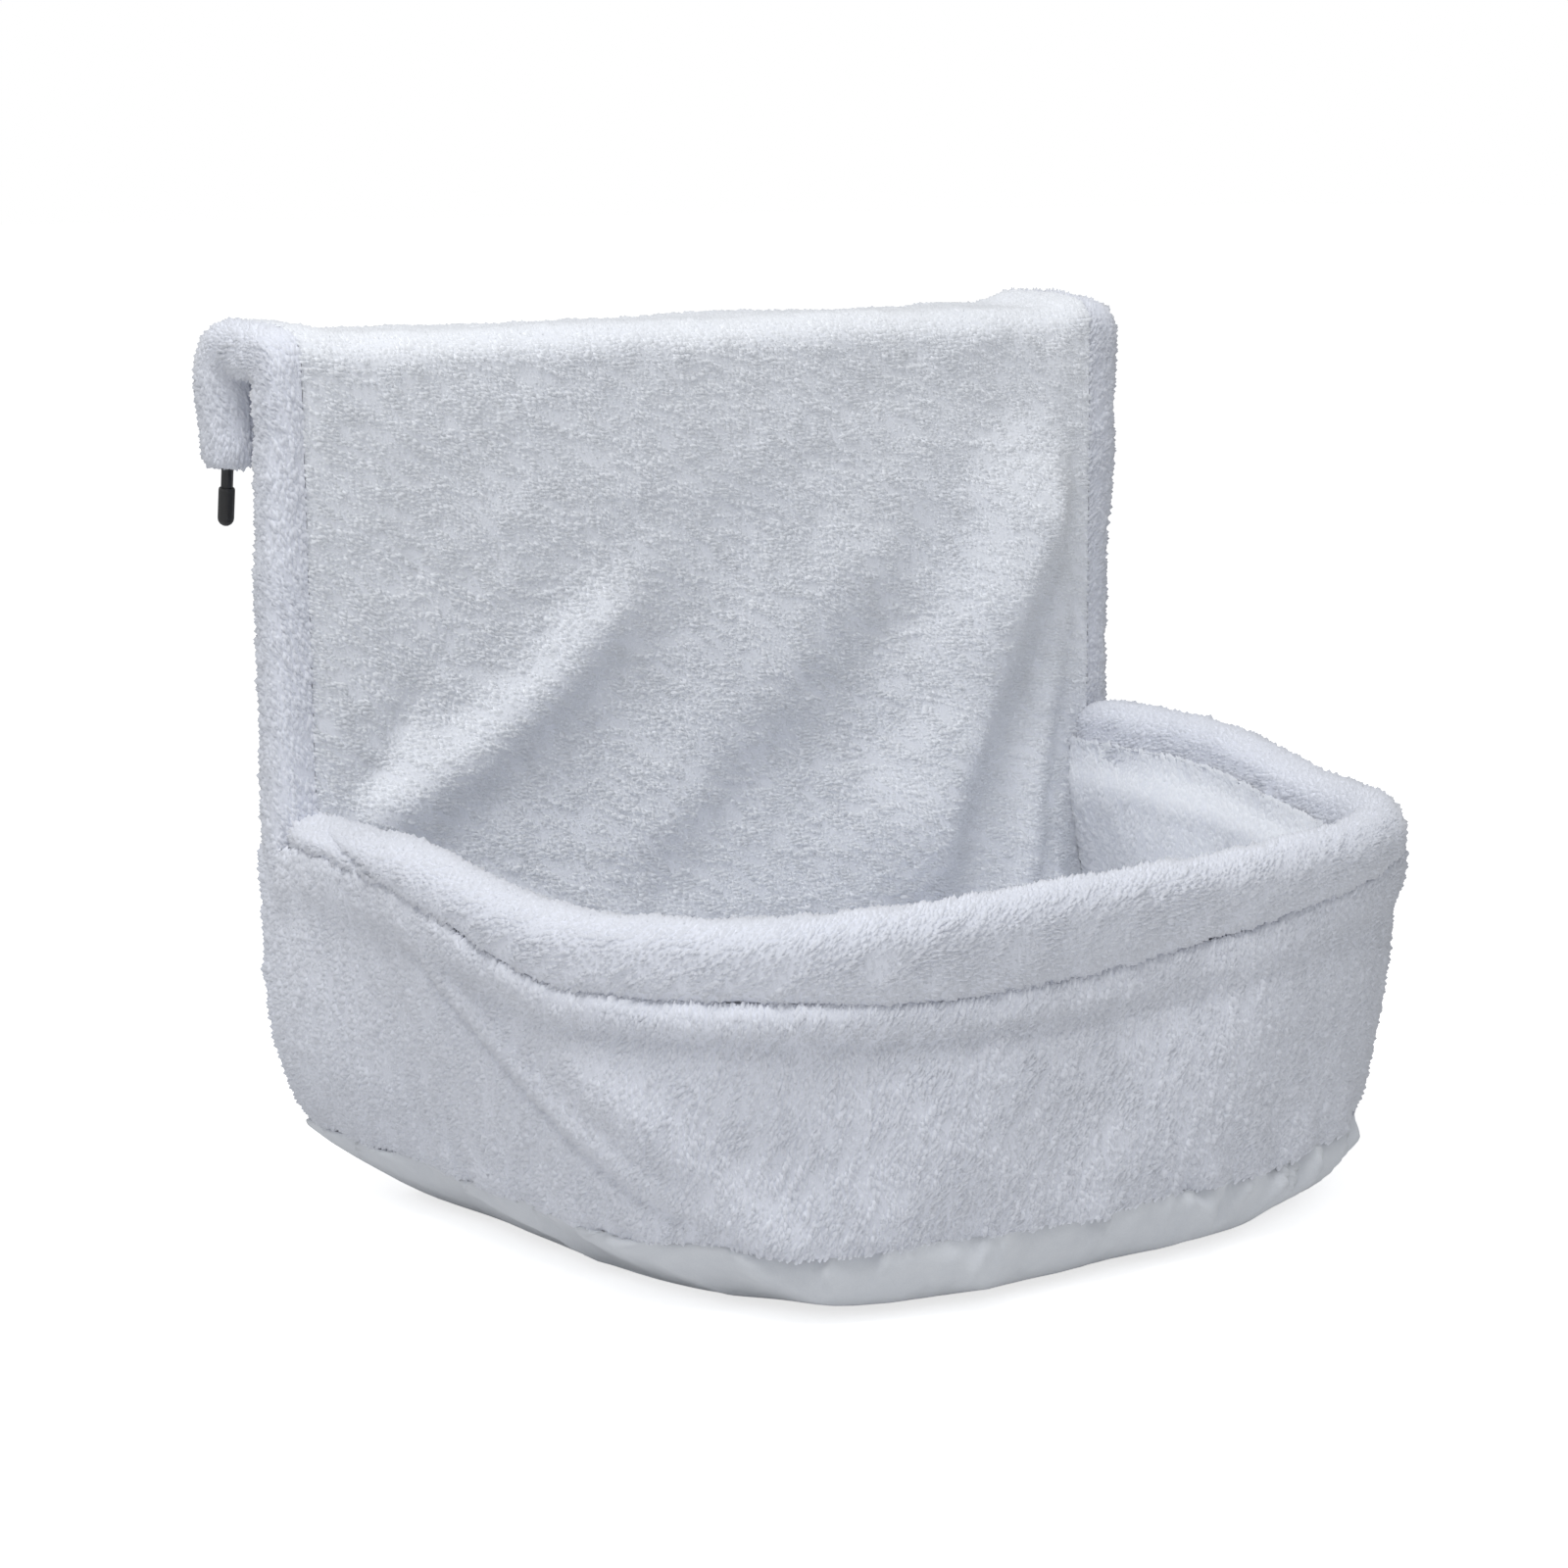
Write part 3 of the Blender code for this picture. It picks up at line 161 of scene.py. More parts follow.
@dataclass(frozen=True)
class BedSizes:
    """Sizes and outlines that more than one piece of the bed is cut to."""

    cover_width: float = 0.471
    cover_depth: float = 0.0225
    top_z: float = 0.0225
    radiator_gap: float = 0.026
    flap_depth: float = 0.036
    flap_drop: float = 0.037
    shoulder_radius: float = 0.024
    hem_radius: float = 0.007
    hem_lean: float = 0.0055
    hem_droop: float = 0.0035
    edge_roll: float = 0.012
    soft_top_radius: float = 0.0145
    seat_fillet: float = 0.004
    layer: float = 0.0055
    wall_layer: float = 0.006
    upright_x: float = 0.22425
    socket_z: float = -0.194
    rim_half_width: float = 0.2315
    rim_reach: float = 0.277
    rim_dip: float = 0.020
    rim_powers: tuple[float, float] = (4.1, 3.5)
    roll_radius: float = 0.013
    wall_top_half_width: float = 0.2395
    wall_top_reach: float = 0.283
    wall_top_drop: float = 0.0146
    seam_half_width: float = 0.2125
    seam_rear_half_width: float = 0.220
    seam_reach: float = 0.298
    seam_powers: tuple[float, float] = (2.8, 4.6)
    seam_z: float = -0.331
    taper_reach: float = 0.090
    taper_power: float = 4.5
    corner_draw: float = 0.0075
    base_bulge: float = 0.030
    base_cloth: float = 0.0025
    seat_gap: float = 0.0003
    clearance: float = 0.0008

    @property
    def rear_y(self) -> float:
        """Face of the rear panel, which leans on the radiator."""
        return -self.radiator_gap / 2

    @property
    def front_y(self) -> float:
        """Face of the front panel."""
        return self.rear_y - self.cover_depth

    @property
    def flap_in_y(self) -> float:
        """Inner face of the flap, behind the radiator's edge."""
        return self.radiator_gap / 2 + self.seat_gap

    @property
    def flap_out_y(self) -> float:
        """Outer face of the flap."""
        return self.radiator_gap / 2 + self.flap_depth

    @property
    def seam_x(self) -> float:
        """Where the panels are sewn to the gussets."""
        return self.cover_width / 2 - self.edge_roll

    @property
    def panel_x(self) -> float:
        """Half the width of the panels, where nothing draws them in."""
        return self.seam_x - self.seat_gap

    @property
    def gusset_foot_z(self) -> float:
        """Where the gussets end at the top of the outer wall."""
        return self.socket_z - self.wall_top_drop + self.seat_gap

    def plan(
        self, half_width: float, reach: float, powers: tuple[float, float], count: int, rear_run: float = 0.0
    ) -> Array:
        """Even points along a D seen from above, from the left rear round the front to the right rear.

        Args:
            half_width: half the width of the D.
            reach: how far the D comes forward of the front panel.
            powers: how square the D is at its sides and at its front.
            count: how many points are wanted.
            rear_run: how far the D's ends run back beside the cover.

        Returns:
            The points in X and Y, one a row.
        """
        shares = np.sin(np.linspace(0.0, math.pi / 2, 1200))
        x = half_width * np.clip(1 - shares ** powers[1], 0, 1) ** (1 / powers[0])
        y = self.front_y - reach * shares
        if rear_run:
            x, y = np.concatenate([[half_width], x]), np.concatenate([[self.front_y + rear_run], y])
        line = np.stack([np.concatenate([-x, x[::-1][1:]]), np.concatenate([y, y[::-1][1:]])], axis=1)
        return redrawn(line, running(steps(line)), count)

    def outward(self, plan: Array) -> Array:
        """The unit vectors that point out of a plan, one for each of its points."""
        along = np.gradient(plan, axis=0)
        return unit(np.stack([along[:, 1], -along[:, 0]], axis=1))

    def rim_height(self, x: Array, y: Array) -> Array:
        """Height of the hoop's centre line over places of its plan: it dips in front, most on the left."""
        forward = smooth(0.25, 0.72, (self.front_y - y) / self.rim_reach)
        return self.socket_z - self.rim_dip * forward * (0.75 - 0.12 * x / self.rim_half_width)

    def wall_share(self, down: Array, y: Array) -> Array:
        """How far a wall is from its top plan to its seam plan: late at the frame, evenly in front."""
        in_front = smooth(0.0, self.taper_reach, self.front_y - y)
        return down * in_front + np.maximum(0.0, down) ** self.taper_power * (1 - in_front)

    def wall_plans(self, count: int) -> tuple[Array, Array]:
        """Plans of the outer wall's face, under the rim and at the base seam, which flares at the rear.

        Args:
            count: how many points each plan has.

        Returns:
            The plan under the rim, and the plan at the seam.
        """
        top_half, seam_half, back = self.wall_top_half_width, self.seam_half_width, self.cover_depth
        top = self.plan(top_half, self.wall_top_reach, self.rim_powers, count, back)
        seam = self.plan(seam_half, self.seam_reach, self.seam_powers, count, back)
        flare = 1 - smooth(0.0, self.taper_reach, self.front_y - seam[:, 1])
        seam[:, 0] += np.sign(seam[:, 0]) * (self.seam_rear_half_width - seam_half) * flare
        return top, seam

    def joint_drop(self, x: Array, y: Array) -> Array:
        """How far below the hoop the rim's roll is sewn to the outer wall at places of its plan.

        Args:
            x: the places' first coordinate.
            y: the places' second coordinate.

        Returns:
            The distance down at each place, in metres.
        """
        reach = self.front_y - y
        left = np.interp(reach, (0.02, 0.07, 0.13, 0.19), (0.0050, 0.0060, 0.0092, 0.0165))
        in_front = np.interp(
            x,
            (-0.23, -0.17, -0.10, -0.03, 0.05, 0.12, 0.17, 0.2315),
            (0.0165, 0.0185, 0.0240, 0.0255, 0.0215, 0.0140, 0.0100, 0.0085),
        )
        drop = np.where((x < 0) & (reach < 0.19), left, in_front)
        return drop + (0.6 * self.wall_top_drop - drop) * smooth(0.020, 0.0, reach)

    def wall_half_width(self, z: Array) -> Array:
        """Half the width of the outer wall's face beside the cover, at heights."""
        down = (self.gusset_foot_z - z) / (self.gusset_foot_z - self.seam_z)
        spread = self.seam_rear_half_width - self.wall_top_half_width
        return self.wall_top_half_width + spread * self.wall_share(down, self.front_y)

    def panel_half_width(self, z: Array) -> Array:
        """Half the width of the front and rear panels at heights: drawn in with the basket at their foot.

        Args:
            z: the heights.

        Returns:
            Half the width at each height, in metres.
        """
        gap = self.wall_layer + self.clearance
        half = np.full(np.shape(z), self.panel_x)
        for turn in np.linspace(-math.pi / 2, math.pi / 2, 13):
            half = np.minimum(half, self.wall_half_width(z + gap * math.sin(turn)) - gap * math.cos(turn))
        return half

    def seam_ring(self, count: int) -> Array:
        """Closed ring of the base seam in X and Y, with its rear side straight."""
        front = self.wall_plans(count)[1]
        rear = np.linspace(front[-1], front[0], count // 3)[1:-1]
        return np.concatenate([front, rear])

    def front_corner(self, x: Array, y: Array) -> Array:
        """How near places are to the right front corner, where the foot of the wall is drawn up and in."""
        return bell(x - 0.185, 0.055) * bell(y + 0.275, 0.075)

    def seam_wave(self, x: Array, y: Array) -> Array:
        """How far the base seam rises and falls at places round it, between its gathers."""
        return 0.0022 * Ripple(201).at(x, y, 0.034, 0.034)


BED = BedSizes()


# Meshes


def linked(name: str, data: bpy.types.ID) -> bpy.types.Object:
    """A new object in the scene that holds a mesh, a lamp or a camera."""
    made = bpy.data.objects.new(name, data)
    bpy.context.scene.collection.objects.link(made)
    return made


def mesh_object(name: str, points: Array, faces: Sequence, sharp: bool = False) -> bpy.types.Object:
    """A mesh object at the origin.

    Args:
        name: the piece's name.
        points: its points, one a row.
        faces: the point numbers of each face.
        sharp: whether its faces are shaded flat.

    Returns:
        The new object, in the scene.
    """
    mesh = bpy.data.meshes.new(name)
    mesh.from_pydata(np.asarray(points).tolist(), [], [list(face) for face in faces])
    mesh.validate()
    if not sharp:
        mesh.shade_smooth()
    return linked(name, mesh)


def closed_object(name: str, points: Array, faces: Sequence) -> bpy.types.Object:
    """A closed mesh object with its faces turned outwards.

    Args:
        name: the piece's name.
        points: its points, one a row.
        faces: the point numbers of each face, all turned the same way.

    Returns:
        The new object, in the scene.
    """
    made = mesh_object(name, points, faces)
    mesh = made.data
    mesh.calc_loop_triangles()
    corners = np.zeros(len(mesh.loop_triangles) * 3, np.int32)
    mesh.loop_triangles.foreach_get("vertices", corners)
    a, b, c = np.asarray(points)[corners.reshape(-1, 3)].transpose(1, 0, 2)
    if np.einsum("ij,ij->i", a, np.cross(b, c)).sum() < 0:
        mesh.flip_normals()
    return made


def triangle_object(name: str, points: Array, triangles: Array, normals: Array) -> bpy.types.Object:
    """A mesh object of triangles whose shading follows given normals.

    Args:
        name: the piece's name.
        points: its points, one a row.
        triangles: the point numbers of each triangle, one a row.
        normals: the normal at each point, one a row.

    Returns:
        The new object, in the scene.
    """
    mesh = bpy.data.meshes.new(name)
    mesh.vertices.add(len(points))
    mesh.vertices.foreach_set("co", np.ascontiguousarray(points, np.float32).ravel())
    mesh.loops.add(triangles.size)
    mesh.loops.foreach_set("vertex_index", np.ascontiguousarray(triangles, np.int32).ravel())
    mesh.polygons.add(len(triangles))
    mesh.polygons.foreach_set("loop_start", np.arange(0, triangles.size, 3, dtype=np.int32))
    mesh.update(calc_edges=True)
    mesh.shade_smooth()
    mesh.normals_split_custom_set_from_vertices(unit(normals).tolist())
    return linked(name, mesh)


def quads(number: Array) -> Array:
    """The corners of each face of a grid, from the numbers of its points in rows and columns."""
    corners = [number[:-1, :-1], number[:-1, 1:], number[1:, 1:], number[1:, :-1]]
    return np.stack(corners, axis=-1).reshape(-1, 4)


def ring_object(name: str, rings: Array) -> bpy.types.Object:
    """A closed solid through rings of equal count, with both of its end rings capped."""
    number = np.arange(rings.shape[0] * rings.shape[1]).reshape(rings.shape[:2])
    faces = quads(np.concatenate([number, number[:, :1]], axis=1)).tolist()
    faces += [number[0, ::-1].tolist(), number[-1].tolist()]
    return closed_object(name, rings.reshape(-1, 3), faces)


@dataclass
class Cloth:
    """A layer of cloth: the points of its face and of its back, in rows and columns."""

    face: Array
    back: Array
    wraps: bool = False
    closes: bool = False

    def whole_face(self) -> Array:
        """The face, with its first column again after its last where it wraps round."""
        return np.concatenate([self.face, self.face[:, :1]], axis=1) if self.wraps else self.face

    def tangents(self) -> tuple[Array, Array]:
        """Unit vectors along the rows, and from row to row, at each point of the face."""
        if self.wraps:
            wide = np.concatenate([self.face[:, -1:], self.whole_face()], axis=1)
            across = np.gradient(wide, axis=1)[:, 1:-1]
        else:
            across = np.gradient(self.face, axis=1)
        return unit(across), unit(np.gradient(self.face, axis=0))

    def normals(self) -> Array:
        """Unit normals of the face at each point, evened out and pointing away from the back."""
        normal = unit(np.cross(*self.tangents()))
        for axis in (0, 1, 0, 1):
            ends = [(0, 0)] * 3
            ends[axis] = (1, 1)
            wide = np.pad(normal, ends, mode="wrap" if self.wraps and axis == 1 else "edge")
            near = [np.take(wide, range(k, k + normal.shape[axis]), axis=axis) for k in (0, 1, 2)]
            normal = unit(near[0] + 2 * near[1] + near[2])
        away = np.einsum("ijk,ijk->ij", normal, self.face - self.back).sum()
        return normal if away > 0 else -normal

    def flat_size(self) -> tuple[float, float]:
        """Mean length of the rows and of the columns: the size that the cloth is cut to."""
        face = self.whole_face()
        wide = np.linalg.norm(np.diff(face, axis=1), axis=2).sum(axis=1).mean()
        long = np.linalg.norm(np.diff(face, axis=0), axis=2).sum(axis=0).mean()
        return round(float(wide), 3), round(float(long), 3)

    def sew(self, name: str) -> bpy.types.Object:
        """Makes the closed mesh of the cloth, under a name.

        Args:
            name: the piece's name.

        Returns:
            The new object.
        """
        offset = self.face.shape[0] * self.face.shape[1]
        points = np.concatenate([self.face.reshape(-1, 3), self.back.reshape(-1, 3)])
        number = np.arange(offset).reshape(self.face.shape[:2])
        last = number[-1]
        if self.wraps:
            number = np.concatenate([number, number[:, :1]], axis=1)
        front = quads(number)
        faces = front.tolist() + (front[:, ::-1] + offset).tolist()
        borders = [] if self.closes else [number[-1]]
        borders.append(number[0, ::-1])
        if not self.wraps:
            borders += [number[:, 0], number[::-1, -1]]
        for border in borders:
            faces += [(e, f, f + offset, e + offset) for f, e in zip(border[:-1], border[1:])]
        if self.closes:
            faces += [last.tolist(), (last[::-1] + offset).tolist()]
        return closed_object(name, points, faces)


def swept(line: Array, half: Union[float, Array], pitch: float) -> tuple[Array, Array]:
    """A plain sheet across the bed along a side outline.

    Args:
        line: the outline in Y and Z, one point a row.
        half: half the sheet's width at each of its points, or all along it.
        pitch: the step between the sheet's columns.

    Returns:
        The sheet's points in rows and columns, and the normal of each row.
    """
    share = np.linspace(-1.0, 1.0, int(2 * BED.seam_x / pitch))
    x = np.broadcast_to(half, len(line))[:, None] * share[None, :]
    heading = unit(np.gradient(line, axis=0))
    normal = np.stack([np.zeros(len(line)), -heading[:, 1], heading[:, 0]], axis=1)[:, None, :]
    return np.concatenate([x[..., None], np.broadcast_to(line[:, None, :], (*x.shape, 2))], axis=-1), normal


# Pile


@dataclass
class Roots:
    """Where tufts stand: places, the face's normals, the ways across and down, and how far along both."""

    place: Array
    normal: Array
    side: Array
    down: Array
    s: Array
    t: Array


@dataclass(frozen=True)
class Pile:
    """A short plush pile: small soft nubs that overlap in ripples, and fine hairs that stand out of them."""

    seed: int
    spacing: float = 0.0020
    length: float = 0.0050
    width: float = 0.0019
    height: float = 0.0015
    ridge_length: float = 0.0090
    ridge_width: float = 0.0022
    ridge_turn: float = -28.0
    ridge_height: float = 0.0005
    wander: float = 22.0
    roundness: float = 0.8
    hair_spacing: float = 0.0028
    hair_length: float = 0.0021
    hair_width: float = 0.00028
    root_depth: float = 0.0004
    face_limit: int = 185000

    def grow(self, name: str, cloth: Cloth, keep: Keep = None) -> list[bpy.types.Object]:
        """Grows the pile on a cloth's face.

        Args:
            name: the start of the new pieces' names.
            cloth: the cloth that the pile is on.
            keep: says for each place whether a tuft grows there.

        Returns:
            The pile's pieces, each with no more faces than the limit.
        """
        rng = np.random.default_rng(self.seed)
        kinds = [self.nubs(self.roots(cloth, self.spacing, rng, keep), rng)]
        if self.hair_spacing:
            kinds.append(self.hairs(self.roots(cloth, self.hair_spacing, rng, keep), rng))
        faces = sum(len(points) * len(triangles) for points, _, triangles in kinds)
        parts = max(1, math.ceil(faces / self.face_limit))
        names = [name] if parts == 1 else [f"{name}_{index + 1}" for index in range(parts)]
        return [self.part(part_name, kinds, parts, index) for index, part_name in enumerate(names)]

    def part(self, name: str, kinds: list[Tufts], parts: int, index: int) -> bpy.types.Object:
        """Makes one piece of the pile.

        Args:
            name: the piece's name.
            kinds: the points, shading normals and triangles of the nubs and of the hairs.
            parts: how many pieces the pile is shared between.
            index: which of them this is.

        Returns:
            The new object.
        """
        points, shading, triangles, first = [], [], [], 0
        for kind_points, kind_shading, kind_triangles in kinds:
            chosen = np.array_split(np.arange(len(kind_points)), parts)[index]
            size = kind_points.shape[1]
            points.append(kind_points[chosen].reshape(-1, 3))
            shading.append(kind_shading[chosen].reshape(-1, 3))
            starts = first + size * np.arange(len(chosen))[:, None, None]
            triangles.append((kind_triangles[None] + starts).reshape(-1, 3))
            first += size * len(chosen)
        return triangle_object(name, *(np.concatenate(lists) for lists in (points, triangles, shading)))

    def roots(self, cloth: Cloth, spacing: float, rng: np.random.Generator, keep: Keep) -> Roots:
        """Where tufts stand on a cloth.

        Args:
            cloth: the cloth.
            spacing: how far the tufts stand from each other.
            rng: where their unevenness comes from.
            keep: says for each place whether a tuft grows there.

        Returns:
            The tufts' roots.
        """
        rows, columns = self.places(cloth, spacing, rng)
        place = sample(cloth.face, rows, columns)
        if keep is not None:
            kept = keep(place)
            rows, columns, place = rows[kept], columns[kept], place[kept]
        ways = (unit(sample(grid, rows, columns)) for grid in (cloth.normals(), *cloth.tangents()))
        step_across, step_down = cloth.flat_size()
        s = columns / (cloth.face.shape[1] - 1) * step_across
        t = rows / (cloth.face.shape[0] - 1) * step_down
        return Roots(place, *ways, s, t)

    def places(self, cloth: Cloth, spacing: float, rng: np.random.Generator) -> tuple[Array, Array]:
        """Row and column numbers with fractions, spread evenly over a cloth's face.

        Args:
            cloth: the cloth.
            spacing: how far the places are from each other.
            rng: where their unevenness comes from.

        Returns:
            The row numbers, and the column numbers.
        """
        face = cloth.whole_face()
        last_row, last_column = cloth.face.shape[0] - 1, cloth.face.shape[1] - 1
        row_run = running(np.linalg.norm(np.diff(face, axis=0), axis=2).mean(axis=1))
        lines = max(2, int(row_run[-1] / spacing))
        per_row = last_row * spacing / row_run[-1]
        rows, columns = [], []
        for index in range(lines):
            row = float(np.interp((index + 0.5) / lines * row_run[-1], row_run, np.arange(len(row_run))))
            low = min(int(row), last_row - 1)
            run = running(steps(face[low] * (1 - row + low) + face[low + 1] * (row - low)))
            count = max(1, int(run[-1] / spacing))
            shift = 0.5 * (index % 2) + rng.uniform(-0.4, 0.4, count)
            at = np.clip((np.arange(count) + 0.25 + shift) / count, 0.0, 1.0) * run[-1]
            columns.append(np.interp(at, run, np.arange(len(run))))
            rows.append(np.clip(row + rng.uniform(-0.4, 0.4, count) * per_row, 0, last_row))
        return np.concatenate(rows), np.minimum(np.concatenate(columns), last_column)

    def nubs(self, roots: Roots, rng: np.random.Generator) -> Tufts:
        """Small leaning domes, each of a five-sided ring and a crown.

        Args:
            roots: where they stand.
            rng: where their unevenness comes from.

        Returns:
            Their points, their shading normals, and the triangles of one.
        """
        s, t, normal, count = roots.s, roots.t, roots.normal, len(roots.s)
        drift = Ripple(self.seed + 2)
        sway = drift.at(s, t, 0.018, 0.018) + 0.6 * drift.at(s + 0.7, t, 0.008, 0.008)
        swayed = s + 0.002 * sway, t + 0.003 * sway
        ridge = Ripple(self.seed + 1).at(*swayed, self.ridge_length, self.ridge_width, self.ridge_turn)
        turn = np.radians(self.ridge_turn + self.wander * sway + rng.normal(0.0, 9.0, count))[:, None]
        long = roots.side * np.cos(turn) + roots.down * np.sin(turn)
        wide = np.cross(normal, long)
        size = (rng.uniform(0.7, 1.3, count) * (1 + 0.15 * ridge))[:, None]
        phase = rng.uniform(-0.3, 0.3, count)
        angle = phase[:, None] + np.arange(5)[None, :] * 2 * math.pi / 5
        outward = long[:, None, :] * np.cos(angle)[..., None] * self.length / 2 * size[:, None]
        outward = outward + wide[:, None, :] * np.sin(angle)[..., None] * self.width / 2 * size[:, None]
        rise = (self.ridge_height * ridge)[:, None]
        ring = roots.place[:, None, :] + outward + (normal * (rise - self.root_depth))[:, None, :]
        lean = (roots.down * 0.25 + long * rng.normal(0.0, 0.22, count)[:, None]) * self.width
        crown = roots.place + lean + normal * (rise + self.height * size * (1 + 0.25 * ridge)[:, None])
        points = np.concatenate([ring, crown[:, None, :]], axis=1)
        slope = unit(outward) * self.roundness + normal[:, None, :]
        shading = np.concatenate([slope, (normal + lean / self.width * 0.3)[:, None, :]], axis=1)
        one = np.array([(k, (k + 1) % 5, 5) for k in range(5)] + [(0, 2, 1), (0, 3, 2), (0, 4, 3)])
        return points, shading, one

    def hairs(self, roots: Roots, rng: np.random.Generator) -> Tufts:
        """Fine hairs, each of a three-sided root and a tip.

        Args:
            roots: where they stand.
            rng: where their unevenness comes from.

        Returns:
            Their points, their shading normals, and the triangles of one.
        """
        side, normal, count = roots.side, roots.normal, len(roots.s)
        aside = rng.normal(0.0, 0.5, count)[:, None]
        droop = rng.normal(0.15, 0.5, count)[:, None]
        lean = side * aside + roots.down * droop
        heading = unit(normal + lean)
        beside = unit(np.cross(heading, side))
        other = np.cross(heading, beside)
        wide = self.hair_width / 2 * rng.uniform(0.7, 1.4, count)[:, None]
        root = roots.place - normal * self.root_depth
        angles = np.radians([90.0, 210.0, 330.0])
        ring = [root + (beside * math.cos(a) + other * math.sin(a)) * wide for a in angles]
        tip = root + heading * (self.hair_length * rng.uniform(0.6, 1.2, count))[:, None]
        shading = np.repeat(normal[:, None, :], 4, axis=1)
        return np.stack([*ring, tip], axis=1), shading, np.array([(0, 2, 1), (0, 1, 3), (1, 2, 3), (2, 0, 3)])


def sample(grid: Array, rows: Array, columns: Array) -> Array:
    """A grid's values between its points, at row and column numbers with fractions.

    Args:
        grid: the values, in rows and columns.
        rows: row numbers with fractions.
        columns: column numbers with fractions.

    Returns:
        The value at each of them.
    """
    i = np.clip(rows.astype(int), 0, grid.shape[0] - 2)
    j = np.clip(columns.astype(int), 0, grid.shape[1] - 2)
    v, u = (rows - i)[:, None], (columns - j)[:, None]
    above = grid[i, j] * (1 - u) + grid[i, j + 1] * u
    below = grid[i + 1, j] * (1 - u) + grid[i + 1, j + 1] * u
    return above * (1 - v) + below * v


# Finishes


class Wiring:
    """Places and joins the nodes of one node tree."""

    def __init__(self, tree: bpy.types.NodeTree) -> None:
        """Takes the tree that the nodes go into."""
        self.tree = tree

    def node(self, kind: str, inputs: Optional[dict] = None, **settings: object) -> bpy.types.Node:
        """Adds a node.

        Args:
            kind: the node's type, without its prefix.
            inputs: a value, or a socket to join, for each named or numbered input.
            settings: the node's own properties.

        Returns:
            The new node.
        """
        made = self.tree.nodes.new(kind if kind.startswith("Node") else "ShaderNode" + kind)
        for key, value in settings.items():
            setattr(made, key, value)
        for key, value in (inputs or {}).items():
            if isinstance(value, bpy.types.NodeSocket):
                self.tree.links.new(value, made.inputs[key])
            else:
                made.inputs[key].default_value = value
        return made

    def noise(self, place: object, scale: object, detail: float) -> bpy.types.NodeSocket:
        """Adds a noise over places and gives its value."""
        return self.node("TexNoise", {"Vector": place, "Scale": scale, "Detail": detail}).outputs[0]

    def math(self, operation: str, *values: object) -> bpy.types.NodeSocket:
        """Adds a sum on values or sockets and gives its result."""
        return self.node("Math", dict(enumerate(values)), operation=operation).outputs[0]

    def mix(self, share: float, first: object, second: object) -> bpy.types.NodeSocket:
        """Adds a mix of two values and gives its result."""
        return self.node("Mix", {0: share, 2: first, 3: second}).outputs[0]


def effect(name: str, numbers: dict[str, float], outputs: Sequence[str]) -> tuple[Wiring, dict]:
    """Starts a shared effect as a node group with a Vector input, number inputs and value outputs.

    Args:
        name: the effect's name.
        numbers: each number input's name and default value.
        outputs: the names of the value outputs.

    Returns:
        The group's wiring, and its inputs by name.
    """
    group = bpy.data.node_groups.new(name, "ShaderNodeTree")
    group.interface.new_socket("Vector", in_out="INPUT", socket_type="NodeSocketVector")
    for key, value in numbers.items():
        group.interface.new_socket(key, in_out="INPUT", socket_type="NodeSocketFloat").default_value = value
    for key in outputs:
        group.interface.new_socket(key, in_out="OUTPUT", socket_type="NodeSocketFloat")
    wiring = Wiring(group)
    return wiring, {socket.name: socket for socket in wiring.node("NodeGroupInput").outputs}


class Effects:
    """The shared effects, each built once: nap, knit and grain."""

    def __init__(self) -> None:
        """Builds the groups."""
        self.nap = self.make_nap()
        self.knit = self.make_knit()
        self.grain = self.make_grain()

    def make_nap(self) -> bpy.types.NodeTree:
        """Clumped, streaked unevenness of a pile: a shade from 0 to 1 that is darker where the height is low,
        as painted shade in the hollows, mixed with random mottle, and a height.
        """
        numbers = {"Clumps": 300.0, "Strands": 1400.0, "Mottle": 14.0}
        wiring, given = effect("nap", numbers, ["Shade", "Height"])
        clumps = wiring.noise(given["Vector"], given["Clumps"], 2.0)
        strands = wiring.noise(given["Vector"], given["Strands"], 1.0)
        mottle = wiring.noise(given["Vector"], given["Mottle"], 3.0)
        height = wiring.math("MULTIPLY", wiring.math("ADD", clumps, strands), 0.5)
        # The shade is 0.6 of the height and 0.4 of a random mottle, so the low places of the bump are painted
        # darker: painted shade in the pile's hollows.
        wiring.node("NodeGroupOutput", {"Shade": wiring.mix(0.4, height, mottle), "Height": height})
        return wiring.tree

    def make_knit(self) -> bpy.types.NodeTree:
        """Fine ribs of a knitted or woven cloth: a shade from 0 to 1 and a height."""
        wiring, given = effect("knit", {"Threads": 1300.0, "Mottle": 18.0}, ["Shade", "Height"])
        scaled = wiring.node("VectorMath", {0: given["Vector"], "Scale": given["Threads"]}, operation="SCALE")
        axes = wiring.node("SeparateXYZ", {0: scaled.outputs[0]}).outputs
        warp = wiring.math("SINE", wiring.math("ADD", axes["X"], axes["Y"]))
        weft = wiring.math("SINE", wiring.math("SUBTRACT", axes["Z"], axes["Y"]))
        fuzz = wiring.noise(given["Vector"], 900.0, 2.0)
        mottle = wiring.noise(given["Vector"], given["Mottle"], 3.0)
        height = wiring.math("MULTIPLY_ADD", wiring.math("MULTIPLY", warp, weft), 0.25, fuzz)
        wiring.node("NodeGroupOutput", {"Shade": wiring.mix(0.5, height, mottle), "Height": height})
        return wiring.tree

    def make_grain(self) -> bpy.types.NodeTree:
        """Fine grain with broad handling marks: a shade from 0 to 1, a mask of marks and a height."""
        wiring, given = effect("grain", {"Grain": 1800.0, "Marks": 60.0}, ["Shade", "Marks", "Height"])
        grain = wiring.noise(given["Vector"], given["Grain"], 2.0)
        marks = wiring.noise(given["Vector"], given["Marks"], 5.0)
        ramp = wiring.node("ValToRGB", {0: marks})
        ramp.color_ramp.elements[0].position = 0.45
        ramp.color_ramp.elements[1].position = 0.72
        shade = wiring.mix(0.5, grain, marks)
        wiring.node("NodeGroupOutput", {"Shade": shade, "Marks": ramp.outputs[0], "Height": grain})
        return wiring.tree


